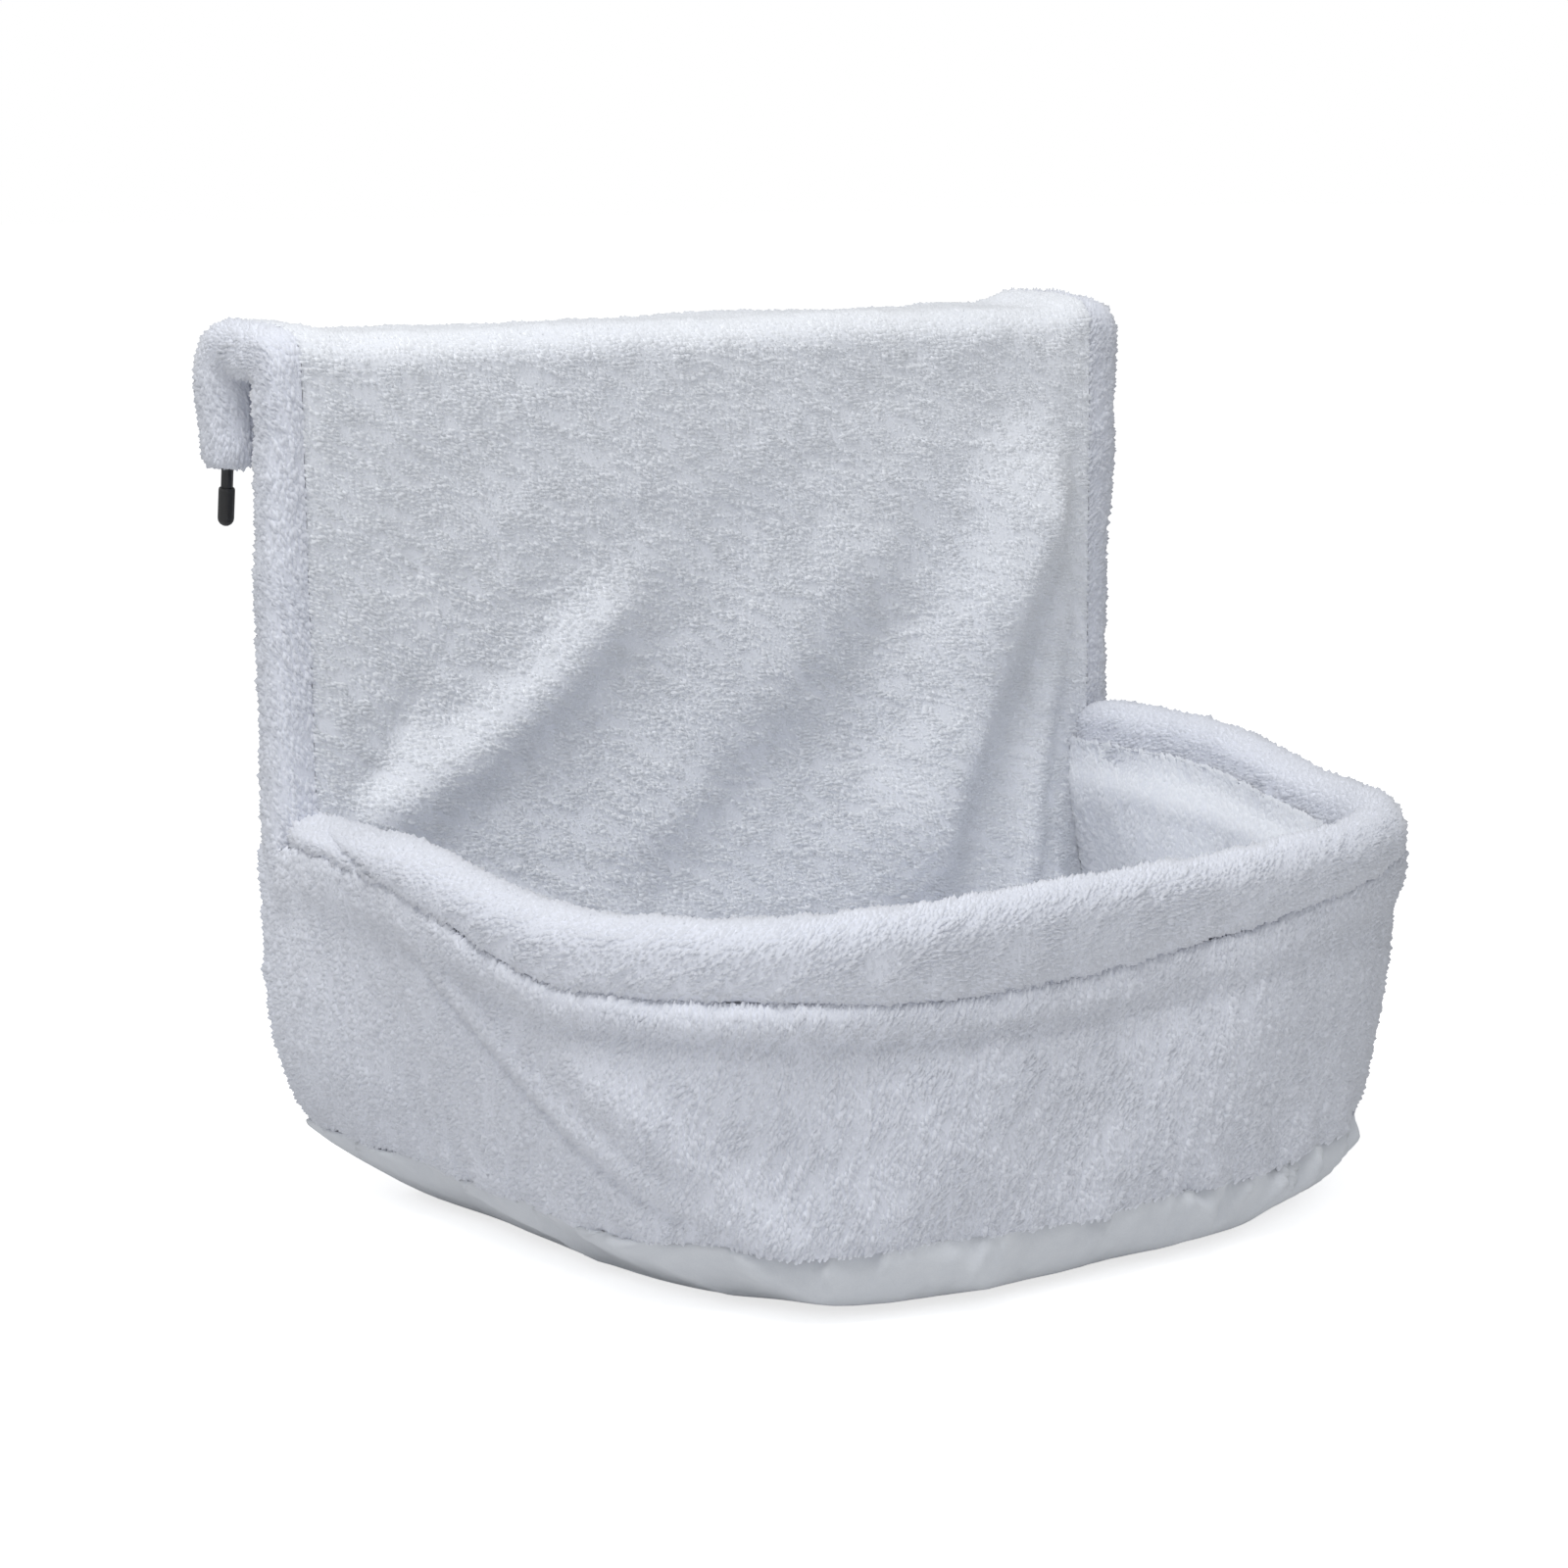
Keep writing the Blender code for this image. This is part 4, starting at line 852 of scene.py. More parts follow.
class Surface(Wiring):
    """A new material: a pattern over the piece's own coordinates, and the shader that it feeds."""

    def __init__(self, name: str, pattern: bpy.types.NodeTree, numbers: dict[str, float]) -> None:
        """Makes the material and places the pattern with its numbers.

        Args:
            name: the material's name.
            pattern: the shared effect that shades and raises it.
            numbers: a value for each of the effect's inputs that isn't left as it is.
        """
        self.material = bpy.data.materials.new(name)
        self.material.use_nodes = True
        super().__init__(self.material.node_tree)
        self.shader = self.tree.nodes["Principled BSDF"]
        place = self.node("TexCoord").outputs["Object"]
        self.pattern = self.node("Group", {"Vector": place, **numbers}, node_tree=pattern).outputs

    def feed(self, key: str, source: bpy.types.NodeSocket) -> None:
        """Joins a value to one of the shader's inputs."""
        self.tree.links.new(source, self.shader.inputs[key])

    def fix(self, values: dict[str, float]) -> None:
        """Sets the shader's plain values."""
        for key, value in values.items():
            self.shader.inputs[key].default_value = value

    def colour(self, *stops: tuple[float, Colour]) -> None:
        """Colours the surface between two shades of its pattern, each given with its colour."""
        ramp = self.node("ValToRGB", {0: self.pattern["Shade"]})
        for element, (position, colour) in zip(ramp.color_ramp.elements, stops):
            element.position = position
            element.color = (*colour, 1.0)
        self.feed("Base Color", ramp.outputs["Color"])

    def raise_pattern(self, strength: float, depth: float) -> None:
        """Raises the surface by its pattern's height."""
        bump = self.node("Bump", {"Strength": strength, "Distance": depth, "Height": self.pattern["Height"]})
        self.feed("Normal", bump.outputs["Normal"])


class Sheen(Enum):
    """How much soft light the fibres of a cloth give back at its edges."""

    NONE = 0.0
    FAINT = 0.15
    SOFT = 0.35


@dataclass(frozen=True)
class ClothFinish:
    """A cloth: two near colours that its nap or knit moves between, with a dull, slightly sheeny surface."""

    name: str
    dark: Colour
    light: Colour
    knitted: bool = False
    sheen: Sheen = Sheen.SOFT
    bump: float = 0.25
    clumps: float = 300.0
    strands: float = 1400.0

    def material(self, effects: Effects) -> bpy.types.Material:
        """The finish as a material.

        Args:
            effects: the shared effects.

        Returns:
            The new material.
        """
        if self.knitted:
            surface = Surface(self.name, effects.knit, {"Threads": self.strands})
        else:
            surface = Surface(self.name, effects.nap, {"Clumps": self.clumps, "Strands": self.strands})
        surface.colour((0.30, self.dark), (0.70, self.light))
        surface.raise_pattern(self.bump, 0.0006)
        surface.fix({"Roughness": 0.95, "Specular IOR Level": 0.15})
        surface.fix({"Sheen Weight": self.sheen.value, "Sheen Roughness": 0.5})
        return surface.material


@dataclass(frozen=True)
class HardFinish:
    """Coated steel, plastic or board: a colour with fine grain and slightly uneven gloss."""

    name: str
    colour: Colour
    worn: Colour
    roughness: tuple[float, float]
    metallic: float = 0.0
    coat: float = 0.0
    grain: float = 1800.0
    bump: float = 0.15

    def material(self, effects: Effects) -> bpy.types.Material:
        """The finish as a material.

        Args:
            effects: the shared effects.

        Returns:
            The new material.
        """
        surface = Surface(self.name, effects.grain, {"Grain": self.grain})
        surface.colour((0.30, self.colour), (0.75, self.worn))
        low, high = self.roughness
        gloss = surface.node("MapRange", {"Value": surface.pattern["Marks"], "To Min": low, "To Max": high})
        surface.feed("Roughness", gloss.outputs["Result"])
        surface.raise_pattern(self.bump, 0.0002)
        surface.fix({"Metallic": self.metallic, "Coat Weight": self.coat})
        return surface.material


FINISHES = {
    "ground": ClothFinish("plush_ground", (0.70, 0.725, 0.80), (0.77, 0.79, 0.865)),
    "pile": ClothFinish("plush_pile", (0.775, 0.80, 0.875), (0.835, 0.855, 0.925)),
    # The next two finishes are paler copies of the same plush ground and pile: painted light for the front
    # panel and the inner wall, which the basket shades.
    "painted_light_ground": ClothFinish("painted_light_ground", (0.80, 0.825, 0.885), (0.86, 0.88, 0.93)),
    "painted_light_pile": ClothFinish("painted_light_pile", (0.87, 0.895, 0.95), (0.92, 0.94, 0.98)),
    "base": ClothFinish(
        "brushed_base_cloth",
        (0.64, 0.665, 0.71),
        (0.73, 0.75, 0.785),
        sheen=Sheen.FAINT,
        bump=0.18,
        clumps=160.0,
    ),
    "tape": ClothFinish(
        "woven_zip_tape", (0.52, 0.55, 0.60), (0.63, 0.66, 0.71), True, Sheen.NONE, strands=2600.0
    ),
    "thread": ClothFinish(
        "sewing_thread", (0.55, 0.57, 0.62), (0.68, 0.70, 0.75), True, Sheen.FAINT, strands=4200.0
    ),
    "steel": HardFinish(
        "black_coated_steel", (0.016, 0.016, 0.018), (0.032, 0.032, 0.034), (0.34, 0.48), 0.3, 0.1
    ),
    "plastic": HardFinish("black_moulded_plastic", (0.012, 0.012, 0.013), (0.026, 0.026, 0.027), (0.45, 0.6)),
    "board": HardFinish(
        "grey_fibre_board", (0.27, 0.24, 0.205), (0.43, 0.385, 0.335), (0.7, 0.85), grain=700.0, bump=0.4
    ),
}
Wardrobe = dict[str, bpy.types.Material]


# Where a piece rides


class Ride(Enum):
    """What a soft piece moves with."""

    FRAME = "frame"
    ACROSS = "across the sleeve"


def wear(piece: bpy.types.Object, material: bpy.types.Material, ride: Ride) -> None:
    """Gives a piece its finish, and parents it to its body unless it lies across the sleeve, where its place
    is only baked into its mesh.

    Args:
        piece: the new piece.
        material: its finish.
        ride: what it moves with.
    """
    piece.data.materials.clear()
    piece.data.materials.append(material)
    if ride is Ride.ACROSS:
        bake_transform(piece)
    else:
        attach(piece, ride.value)


@dataclass
class Plush:
    """How a plush piece is dressed: its finishes and pile, what it moves with and what it stands for."""

    wardrobe: Wardrobe
    pile: Pile
    ride: Ride
    replaced: Sequence[str]
    keep: Keep = None
    # Whether the piece wears the paler plush copies, as painted light where the basket shades it.
    painted_light: bool = False

    def dress(self, piece: bpy.types.Object, cloth: Cloth) -> list[bpy.types.Object]:
        """Finishes a piece and grows its pile.

        Args:
            piece: the piece.
            cloth: the face that the pile grows on.

        Returns:
            The pile's pieces.
        """
        # The paler copies are painted light on the same plush, not a different cloth.
        kind = "painted_light_" if self.painted_light else ""
        wear(piece, self.wardrobe[kind + "ground"], self.ride)
        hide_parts(*self.replaced)
        tufts = self.pile.grow(piece.name + "_pile", cloth, self.keep)
        for tuft in tufts:
            wear(tuft, self.wardrobe[kind + "pile"], self.ride)
        LOG.info("%s: %d x %d points, %d pile pieces", piece.name, *cloth.face.shape[:2], len(tufts))
        return tufts

    def make_sheet(self, name: str, cloth: Cloth) -> None:
        """Sews and dresses a sheet of cloth."""
        piece = cloth.sew(name)
        self.dress(piece, cloth)
        LOG.info("%s: flat %s", name, cloth.flat_size())


# Back cover


@dataclass(frozen=True)
class Fold:
    """A soft fold: its rise, its widths above and below, and its crest's X and Z from bottom to top."""

    rise: float
    upper_width: float
    lower_width: float
    crest: tuple[tuple[float, float], ...]

    def height(self, x: Array, z: Array) -> Array:
        """The fold's height out of the panel, at places of it in X and Z.

        Args:
            x: the places' first coordinate.
            z: the places' height.

        Returns:
            The height at each place, in metres.
        """
        line = evenly(np.array(self.crest), 0.004)
        heading = unit(np.gradient(line, axis=0))
        shape = np.shape(x)
        x, z = np.ravel(x), np.ravel(z)
        away = np.hypot(x[:, None] - line[None, :, 0], z[:, None] - line[None, :, 1])
        near = away.argmin(axis=1)
        distance = away[np.arange(len(x)), near]
        side = heading[near, 0] * (z - line[near, 1]) - heading[near, 1] * (x - line[near, 0])
        width = np.where(side > 0, self.upper_width, self.lower_width)
        share = near / (len(line) - 1)
        ends = smooth(0.0, 0.22, share) * smooth(0.0, 0.22, 1 - share)
        return (self.rise * bell(distance, width) * (0.15 + 0.85 * ends)).reshape(shape)


FOLDS = (
    Fold(
        0.0160, 0.040, 0.016,
        (
            (0.100, -0.290),
            (0.118, -0.225),
            (0.142, -0.180),
            (0.168, -0.122),
            (0.190, -0.085),
            (0.208, -0.035),
        ),
    ),
    Fold(
        0.0055, 0.012, 0.007,
        ((0.172, -0.290), (0.184, -0.220), (0.197, -0.175), (0.208, -0.130), (0.214, -0.080)),
    ),
    Fold(
        0.0085, 0.015, 0.017,
        (
            (-0.219, -0.205),
            (-0.180, -0.186),
            (-0.151, -0.172),
            (-0.113, -0.149),
            (-0.080, -0.122),
            (-0.045, -0.090),
        ),
    ),
    Fold(-0.0026, 0.009, 0.008, ((-0.214, -0.192), (-0.188, -0.166), (-0.165, -0.132))),
    Fold(
        0.0055, 0.032, 0.022,
        ((-0.080, -0.240), (-0.050, -0.212), (0.010, -0.163), (0.070, -0.113), (0.110, -0.065)),
    ),
)


@dataclass
class BackCover:
    """The front panel, the sleeve over the hooks and the outer face of the flap, all of one plush cloth."""

    wardrobe: Wardrobe
    pitch: float = 0.0030
    seam_depth: float = 0.0003
    seam_width: float = 0.0030
    sag: float = 0.0041
    foot_lean: float = 0.0120
    left_hump: float = 0.0020
    right_hump: float = 0.0028
    hem_start_y: float = 0.0318

    def outline(self) -> Array:
        """Side outline of the face from the panel's foot over the top to the flap's hem, in Y and Z."""
        b = BED
        top = (b.front_y + b.soft_top_radius, b.top_z - b.soft_top_radius)
        shoulder = (b.flap_out_y - b.shoulder_radius, b.top_z - b.shoulder_radius)
        hem = (b.flap_out_y - b.hem_lean - b.hem_radius, -b.flap_drop + b.hem_radius)
        return np.concatenate(
            [
                [[b.front_y, b.seam_z]],
                arc(top, b.soft_top_radius, 180, 90, 13),
                arc(shoulder, b.shoulder_radius, 90, 0, 15),
                arc(hem, b.hem_radius, 0, -90, 7),
                [[self.hem_start_y, -b.flap_drop - 0.3 * b.hem_droop]],
            ]
        )

    def shape(self) -> Cloth:
        """The cloth with its folds, its sag between the hooks and the valleys along its seams."""
        line = evenly(self.outline(), self.pitch)
        half = np.where(line[:, 0] < BED.front_y + 1e-4, BED.panel_half_width(line[:, 1]), BED.panel_x)
        flat, normal = swept(line, half, self.pitch)
        x, y, z = flat.transpose(2, 0, 1).copy()
        sunk = self.sag * smooth(0.225, 0.196, np.abs(x))
        hump = np.where(x < 0, self.left_hump, self.right_hump) * smooth(0.200, 0.2235, np.abs(x))
        hump = hump * smooth(-0.030, -0.006, y) * smooth(0.045, 0.030, y)
        flat[..., 2] += (hump - sunk) * smooth(-0.014, BED.top_z, z)
        raised = normal * self.relief(x, y, z, half[:, None])[..., None]
        return Cloth(flat + raised, flat - normal * BED.layer)

    def relief(self, x: Array, y: Array, z: Array, half: Array) -> Array:
        """Height of the cloth's face over its plain outline, at places where the panel has a half width.

        Args:
            x: the places' first coordinate.
            y: the places' second coordinate.
            z: the places' height.
            half: half the width of the cloth at each row.

        Returns:
            The height at each place, in metres.
        """
        on_front = smooth(BED.front_y + 0.006, BED.front_y, y)
        total = sum(fold.height(x, z) for fold in FOLDS) + self.foot_lean * smooth(-0.175, -0.300, z)
        edge = half - np.abs(x)
        total = total * smooth(0.004, 0.030, edge) * smooth(BED.top_z, -0.010, z) * smooth(-0.340, -0.300, z)
        broad = 0.0012 * Ripple(5).at(x, z + y, 0.060, 0.045, 30.0)
        broad = broad + 0.0005 * Ripple(6).at(x, z - y, 0.020, 0.014, 20.0)
        seam = -self.seam_depth * bell(edge, self.seam_width)
        return total * on_front + broad * smooth(0.0, 0.02, edge) + seam

    def make(self) -> None:
        """Sews and dresses the cloth."""
        pile = Pile(
            11, spacing=0.0018, length=0.0042, width=0.0017, height=0.0012, wander=13.0, roundness=0.7
        )
        # The cover wears the paler plush copies: painted light on the shaded front panel.
        plush = Plush(self.wardrobe, pile, Ride.ACROSS, ["face_cloth", "flap_face"], painted_light=True)
        plush.make_sheet("cover_front", self.shape())


@dataclass
class LinedSheet:
    """A plain sheet on the radiator's side, with a short pile and a valley along its side seams."""

    wardrobe: Wardrobe
    pitch: float = 0.0045
    thickness: float = BED.layer
    seam_depth: float = 0.0020
    seam_width: float = 0.004
    seam_gap: float = 0.0

    def cloth(self, line: Array, half: Union[float, Array]) -> Cloth:
        """The sheet along a side outline, with its half width.

        Args:
            line: the outline in Y and Z, one point a row.
            half: half the sheet's width at each of its points, or all along it.

        Returns:
            The cloth.
        """
        flat, normal = swept(line, half, self.pitch)
        edge = np.broadcast_to(half, len(line))[:, None] - np.abs(flat[..., 0]) + self.seam_gap
        seam = -self.seam_depth * bell(edge, self.seam_width)
        return Cloth(flat + normal * seam[..., None], flat - normal * self.thickness)

    def pile(self, seed: int) -> Pile:
        """The sheet's short, broad pile without hairs."""
        return Pile(seed, spacing=0.0028, length=0.0044, width=0.0034, height=0.0009, hair_spacing=0.0)


@dataclass
class RearPanel(LinedSheet):
    """The panel that leans on the radiator, with the zip near its foot."""

    zip_z: float = -0.297
    zip_clear: tuple[float, float] = (0.1985, 0.0125)

    def shape(self) -> Cloth:
        """The cloth, from the sleeve's underside to the panel's foot, where it fills the basket's width."""
        fillet_y = BED.rear_y + BED.seat_fillet
        fillet = arc((fillet_y, -BED.seat_fillet), BED.seat_fillet, 90, 180, 5)
        straight = evenly(np.array([[BED.rear_y, -BED.seat_fillet], [BED.rear_y, BED.seam_z]]), self.pitch)
        line = np.concatenate([fillet, straight[1:]])
        z = line[:, 1]
        half = BED.panel_half_width(z)
        inside = BED.wall_half_width(z) - BED.wall_layer - BED.clearance
        below = smooth(0.0, 0.006, BED.gusset_foot_z - z)
        return self.cloth(line, half + np.maximum(inside - half, 0.0) * below)

    def clear_of_zip(self, place: Array) -> Array:
        """Whether a place is off the zip's tape."""
        beside, above = self.zip_clear
        return (np.abs(place[:, 2] - self.zip_z) > above) | (np.abs(place[:, 0]) > beside)

    def make(self) -> None:
        """Sews and dresses the cloth."""
        plush = Plush(self.wardrobe, self.pile(21), Ride.FRAME, ["rear_cloth"], self.clear_of_zip)
        plush.make_sheet("cover_rear", self.shape())


@dataclass
class FlapLining(LinedSheet):
    """The underside of the sleeve, which bears on the radiator's edge, and the inner face of the flap."""

    pitch: float = 0.0036
    thickness: float = 0.0044
    seam_gap: float = BED.seat_gap
    corner: float = 0.0025
    hem_start_y: float = 0.0305

    def shape(self) -> Cloth:
        """The cloth, from the flap's hem up and along the sleeve's underside."""
        b = BED
        hem = (b.flap_in_y + b.hem_radius, b.hem_radius - b.flap_drop - b.hem_droop)
        outline = np.concatenate(
            [
                [[self.hem_start_y, -b.flap_drop - 0.5 * b.hem_droop]],
                arc(hem, b.hem_radius, -90, -180, 7),
                arc((b.flap_in_y - self.corner, -self.corner), self.corner, 0, 90, 5),
                [[b.rear_y + b.seat_fillet + 0.0004, 0.0]],
            ]
        )
        return self.cloth(evenly(outline, self.pitch / 2), b.panel_x)

    def make(self) -> None:
        """Sews and dresses the cloth."""
        plush = Plush(self.wardrobe, self.pile(31), Ride.ACROSS, ["flap_lining"])
        plush.make_sheet("flap_inner_lining", self.shape())


@dataclass
class Gusset:
    """A side of the cover: a soft roll from the front seam to the rear seam, over the sleeve and the flap."""

    wardrobe: Wardrobe
    side: str
    sign: int
    puffs: tuple[tuple[float, float], ...]
    hump: float
    pitch: float = 0.0030
    seam_depth: float = 0.0003
    seam_width: float = 0.0035
    squareness: float = 3.0
    flap_squareness: float = 2.0
    flap_puff: float = 0.0018
    corner: float = 0.0025

    def stations(self) -> tuple[Array, Array]:
        """Matching points of the outer and the inner outline, in Y and Z, from the foot to the flap's hem."""
        b = BED
        top = b.top_z + self.hump
        shoulder_y = b.flap_out_y - b.shoulder_radius
        hem, foot, start = b.hem_radius, -b.flap_drop, b.flap_in_y
        radius, fillet = b.soft_top_radius, b.seat_fillet
        low = foot - b.hem_droop
        out_y = b.flap_out_y - b.hem_lean
        front_top = b.top_z - radius
        pairs = [((b.front_y, b.gusset_foot_z), (b.rear_y, b.gusset_foot_z))]
        pairs += [((b.front_y, front_top - 0.02), (b.rear_y, -fillet - 0.02))]
        front_turn = arc((b.front_y + radius, front_top), radius, 180, 90, 7)
        pairs += list(zip(front_turn, arc((b.rear_y + fillet, -fillet), fillet, 180, 90, 7)))
        pairs += [((-0.004, b.top_z + 0.7 * self.hump), (-0.002, 0.0))]
        pairs += [((shoulder_y - 0.010, top), (start - 0.008, 0.0))]
        pairs += [((shoulder_y, top), (start - 0.004, 0.0))]
        inner = arc((start - self.corner, -self.corner), self.corner, 90, 0, 4)
        inner = np.concatenate([inner, [[start, -0.004], [start, -0.006]]])
        shoulder_turn = arc((shoulder_y, top - b.shoulder_radius), b.shoulder_radius, 90, 0, 7)
        pairs += list(zip(shoulder_turn[1:], inner))
        pairs += [((out_y, foot + hem), (start, low + hem))]
        out_hem = arc((out_y - hem, foot + hem), hem, 0, -90, 5)
        pairs += list(zip(out_hem[1:], arc((start + hem, low + hem), hem, 180, 270, 5)[1:]))
        pairs += [((0.0325, foot - 0.3 * b.hem_droop), (0.0285, foot - 0.5 * b.hem_droop))]
        outer, inner = np.array(pairs, float).transpose(1, 0, 2)
        longer = np.maximum(steps(outer), steps(inner))
        run = running(longer * 0.5 + 0.5 * steps((outer + inner) / 2))
        count = int(run[-1] / self.pitch)
        return redrawn(outer, run, count), redrawn(inner, run, count)

    def shape(self) -> Cloth:
        """The roll's face and back."""
        outer, inner = self.stations()
        angle = np.linspace(0.0, math.pi, 25)
        middle, half = (outer + inner) / 2, (outer - inner) / 2
        z = middle[:, 1]
        on_flap = smooth(0.0, 0.02, middle[:, 0])
        power = 2 / (self.squareness * (1 - on_flap) + self.flap_squareness * on_flap)[:, None]
        along = np.sign(np.cos(angle))[None, :] * np.abs(np.cos(angle))[None, :] ** power
        depth = np.abs(np.sin(angle))[None, :] ** power
        puff = np.interp(outer[:, 1], *np.array(self.puffs).T) * (1 - on_flap) + self.flap_puff * on_flap
        puff = puff + 0.0009 * Ripple(7 + self.sign).at(z, z * 0, 0.030, 0.030)
        half_long = np.linalg.norm(half, axis=1)
        reach = (BED.edge_roll + puff) * np.sqrt(np.clip(half_long / 0.011, 0.0, 1.0))
        valley = self.seam_depth * bell(depth * reach[:, None], self.seam_width)
        inset = np.minimum(valley / half_long[:, None], 0.6) * np.sign(along)
        face = self.lay(middle, half, along - inset, depth * reach[:, None])
        thin = np.clip(half_long - BED.layer, 0.0012, None) / half_long
        inner_reach = np.maximum(reach - BED.layer, 0.0015)
        return Cloth(face, self.lay(middle, half, along * thin[:, None], depth * inner_reach[:, None]))

    def lay(self, middle: Array, half: Array, along: Array, out: Array) -> Array:
        """Places points between the two outlines and out from the seam.

        Args:
            middle: points midway between the outlines, in Y and Z.
            half: from the middle to the outer outline, in Y and Z.
            along: shares of that half, one row for each station.
            out: distances out from the seam's plane.

        Returns:
            The points, in rows and columns.
        """
        flat = middle[:, None, :] + half[:, None, :] * along[..., None]
        x = self.sign * (BED.seam_x + out) * np.ones(along.shape)
        return np.concatenate([x[..., None], flat], axis=-1)

    def make(self) -> None:
        """Sews and dresses the roll."""
        cloth = self.shape()
        piece = cloth.sew(f"{self.side}_side_roll")
        replaced = [f"{self.side}_gusset", f"{self.side}_flap_gusset"]
        Plush(self.wardrobe, Pile(41 + self.sign, ridge_turn=70.0), Ride.ACROSS, replaced).dress(piece, cloth)


# Basket


@dataclass
class RimRoll:
    """The plush channel along the top of the basket, stuffed round the hoop."""

    wardrobe: Wardrobe
    around: int = 48
    pitch: float = 0.0032
    bore: float = 0.0052
    inner_depth: float = 0.0175
    inner_lean: float = 0.0020
    outer_power: float = 0.5
    inner_power: float = 0.34
    stitch_depth: float = 0.0024
    stitch_width: float = 9.0
    end_run: float = 0.018
    least_cover: float = 0.0062
    left_droop: float = 0.0068
    right_droop: float = 0.0045
    pile_angles: tuple[float, float] = (-66.0, 246.0)

    def drawn(self, reach: Array) -> Array:
        """How far the hoop is drawn in to its sockets, at distances forward of the cover."""
        return (BED.rim_half_width - BED.upright_x) * smooth(0.080, 0.01555, reach)

    def line(self) -> Array:
        """Line of the hoop in the roll, from the left rear to the right rear."""
        x, y = BED.plan(BED.rim_half_width, BED.rim_reach, BED.rim_powers, 260).T
        high = BED.rim_height(x - np.sign(x) * self.drawn(BED.front_y - y), y)
        line = np.stack([x - np.sign(x) * self.drawn(BED.front_y - y), y, high], axis=1)
        line[0, 1] = line[-1, 1] = BED.front_y - 0.0004
        return evenly(line, self.pitch)

    def angles(self) -> Array:
        """Angles round the section, from under its outer side over the top to under its inner side."""
        quarter = smooth(0.0, 1.0, np.linspace(0.02, 1.0, self.around // 4)) * math.pi / 2
        over = np.linspace(0.0, math.pi, self.around // 2)[1:-1]
        return np.concatenate([quarter - math.pi / 2, over, 1.5 * math.pi - quarter[::-1]])

    def crown(self, line: Array) -> Array:
        """Height of the roll over the hoop along its line: the plush hangs low at the left rear."""
        reach = BED.front_y - line[:, 1]
        low_left = self.left_droop * (1 - smooth(0.020, 0.125, reach)) * (line[:, 0] < 0)
        low_right = self.right_droop * bell(reach - 0.15, 0.055) * (line[:, 0] > 0)
        return BED.roll_radius - low_left - low_right

    def shape(self) -> Cloth:
        """The roll's face and bore: round on top, flat over the outer wall and long over the inner wall."""
        line = self.line()
        heading = unit(np.gradient(line, axis=0))
        out = unit(np.cross(heading, np.array([0.0, 0.0, 1.0])))
        up = unit(np.cross(out, heading))[:, None, :]
        out = out[:, None, :]
        angle = self.angles()
        across, rise = np.cos(angle)[None, :], np.sin(angle)[None, :]
        outside, underneath = across > 0, rise < 0
        reach = (BED.front_y - line[:, 1])[:, None]
        end = np.sqrt(1 - 0.55 * np.clip(1 - reach / self.end_run, 0.0, 1.0) ** 2)
        outer_half = (BED.roll_radius + 0.6 * self.drawn(reach)) * end
        inner_half = BED.roll_radius - 0.0042 * smooth(0.050, 0.0, reach)
        below = np.where(outside, BED.joint_drop(line[:, 0], line[:, 1])[:, None], self.inner_depth)
        power = np.where(underneath, np.where(outside, self.outer_power, self.inner_power), 1.0)
        wide = np.sign(across) * np.abs(across) ** power * np.where(outside, outer_half, inner_half)
        lean = np.where((across < 0) & underneath, np.abs(rise) ** power, 0.0) * np.abs(across) ** 0.2
        wide = wide - self.inner_lean * lean
        over = np.maximum(self.crown(line)[:, None] * end, self.least_cover)
        high = np.where(rise > 0, over * rise, -below * np.abs(rise) ** power)
        run, turned = running(steps(line))[:, None], angle[None, :] * BED.roll_radius
        uneven = 0.0006 * Ripple(51).at(run, turned, 0.011, 0.03)
        uneven = uneven + 0.0010 * Ripple(52).at(run, turned, 0.045, 0.05)
        fuller = 1 + (uneven - self.stitch(line, angle)) / BED.roll_radius
        face = line[:, None, :] + out * (wide * fuller)[..., None] + up * (high * fuller)[..., None]
        spoke = across[..., None] * out + rise[..., None] * up
        return Cloth(face, line[:, None, :] + spoke * self.bore, wraps=True)

    def stitch(self, line: Array, angle: Array) -> Array:
        """Depth of the stitch line that climbs from the wall's seam over the roll's left rear end.

        Args:
            line: the roll's line, one point a row.
            angle: the angles round its section.

        Returns:
            The depth at each point and angle, in metres.
        """
        reach = BED.front_y - line[:, 1]
        place = 62.0 - 104.0 * smooth(0.006, 0.115, reach)
        turn = (np.degrees(angle)[None, :] - place[:, None] + 180.0) % 360.0 - 180.0
        shown = smooth(0.004, 0.026, reach) * smooth(0.130, 0.100, reach) * (line[:, 0] < 0)
        return self.stitch_depth * bell(turn, self.stitch_width) * shown[:, None]

    def make(self) -> None:
        """Sews and dresses the roll, with its pile where the roll isn't against a wall."""
        cloth = self.shape()
        low, high = np.radians(self.pile_angles)
        shown = (self.angles() > low) & (self.angles() < high)
        piece = cloth.sew("rim_roll")
        pile = Pile(61, ridge_turn=60.0, roundness=0.65)
        plush = Plush(self.wardrobe, pile, Ride.FRAME, ["rim_sleeve"])
        plush.dress(piece, Cloth(cloth.face[:, shown], cloth.back[:, shown]))


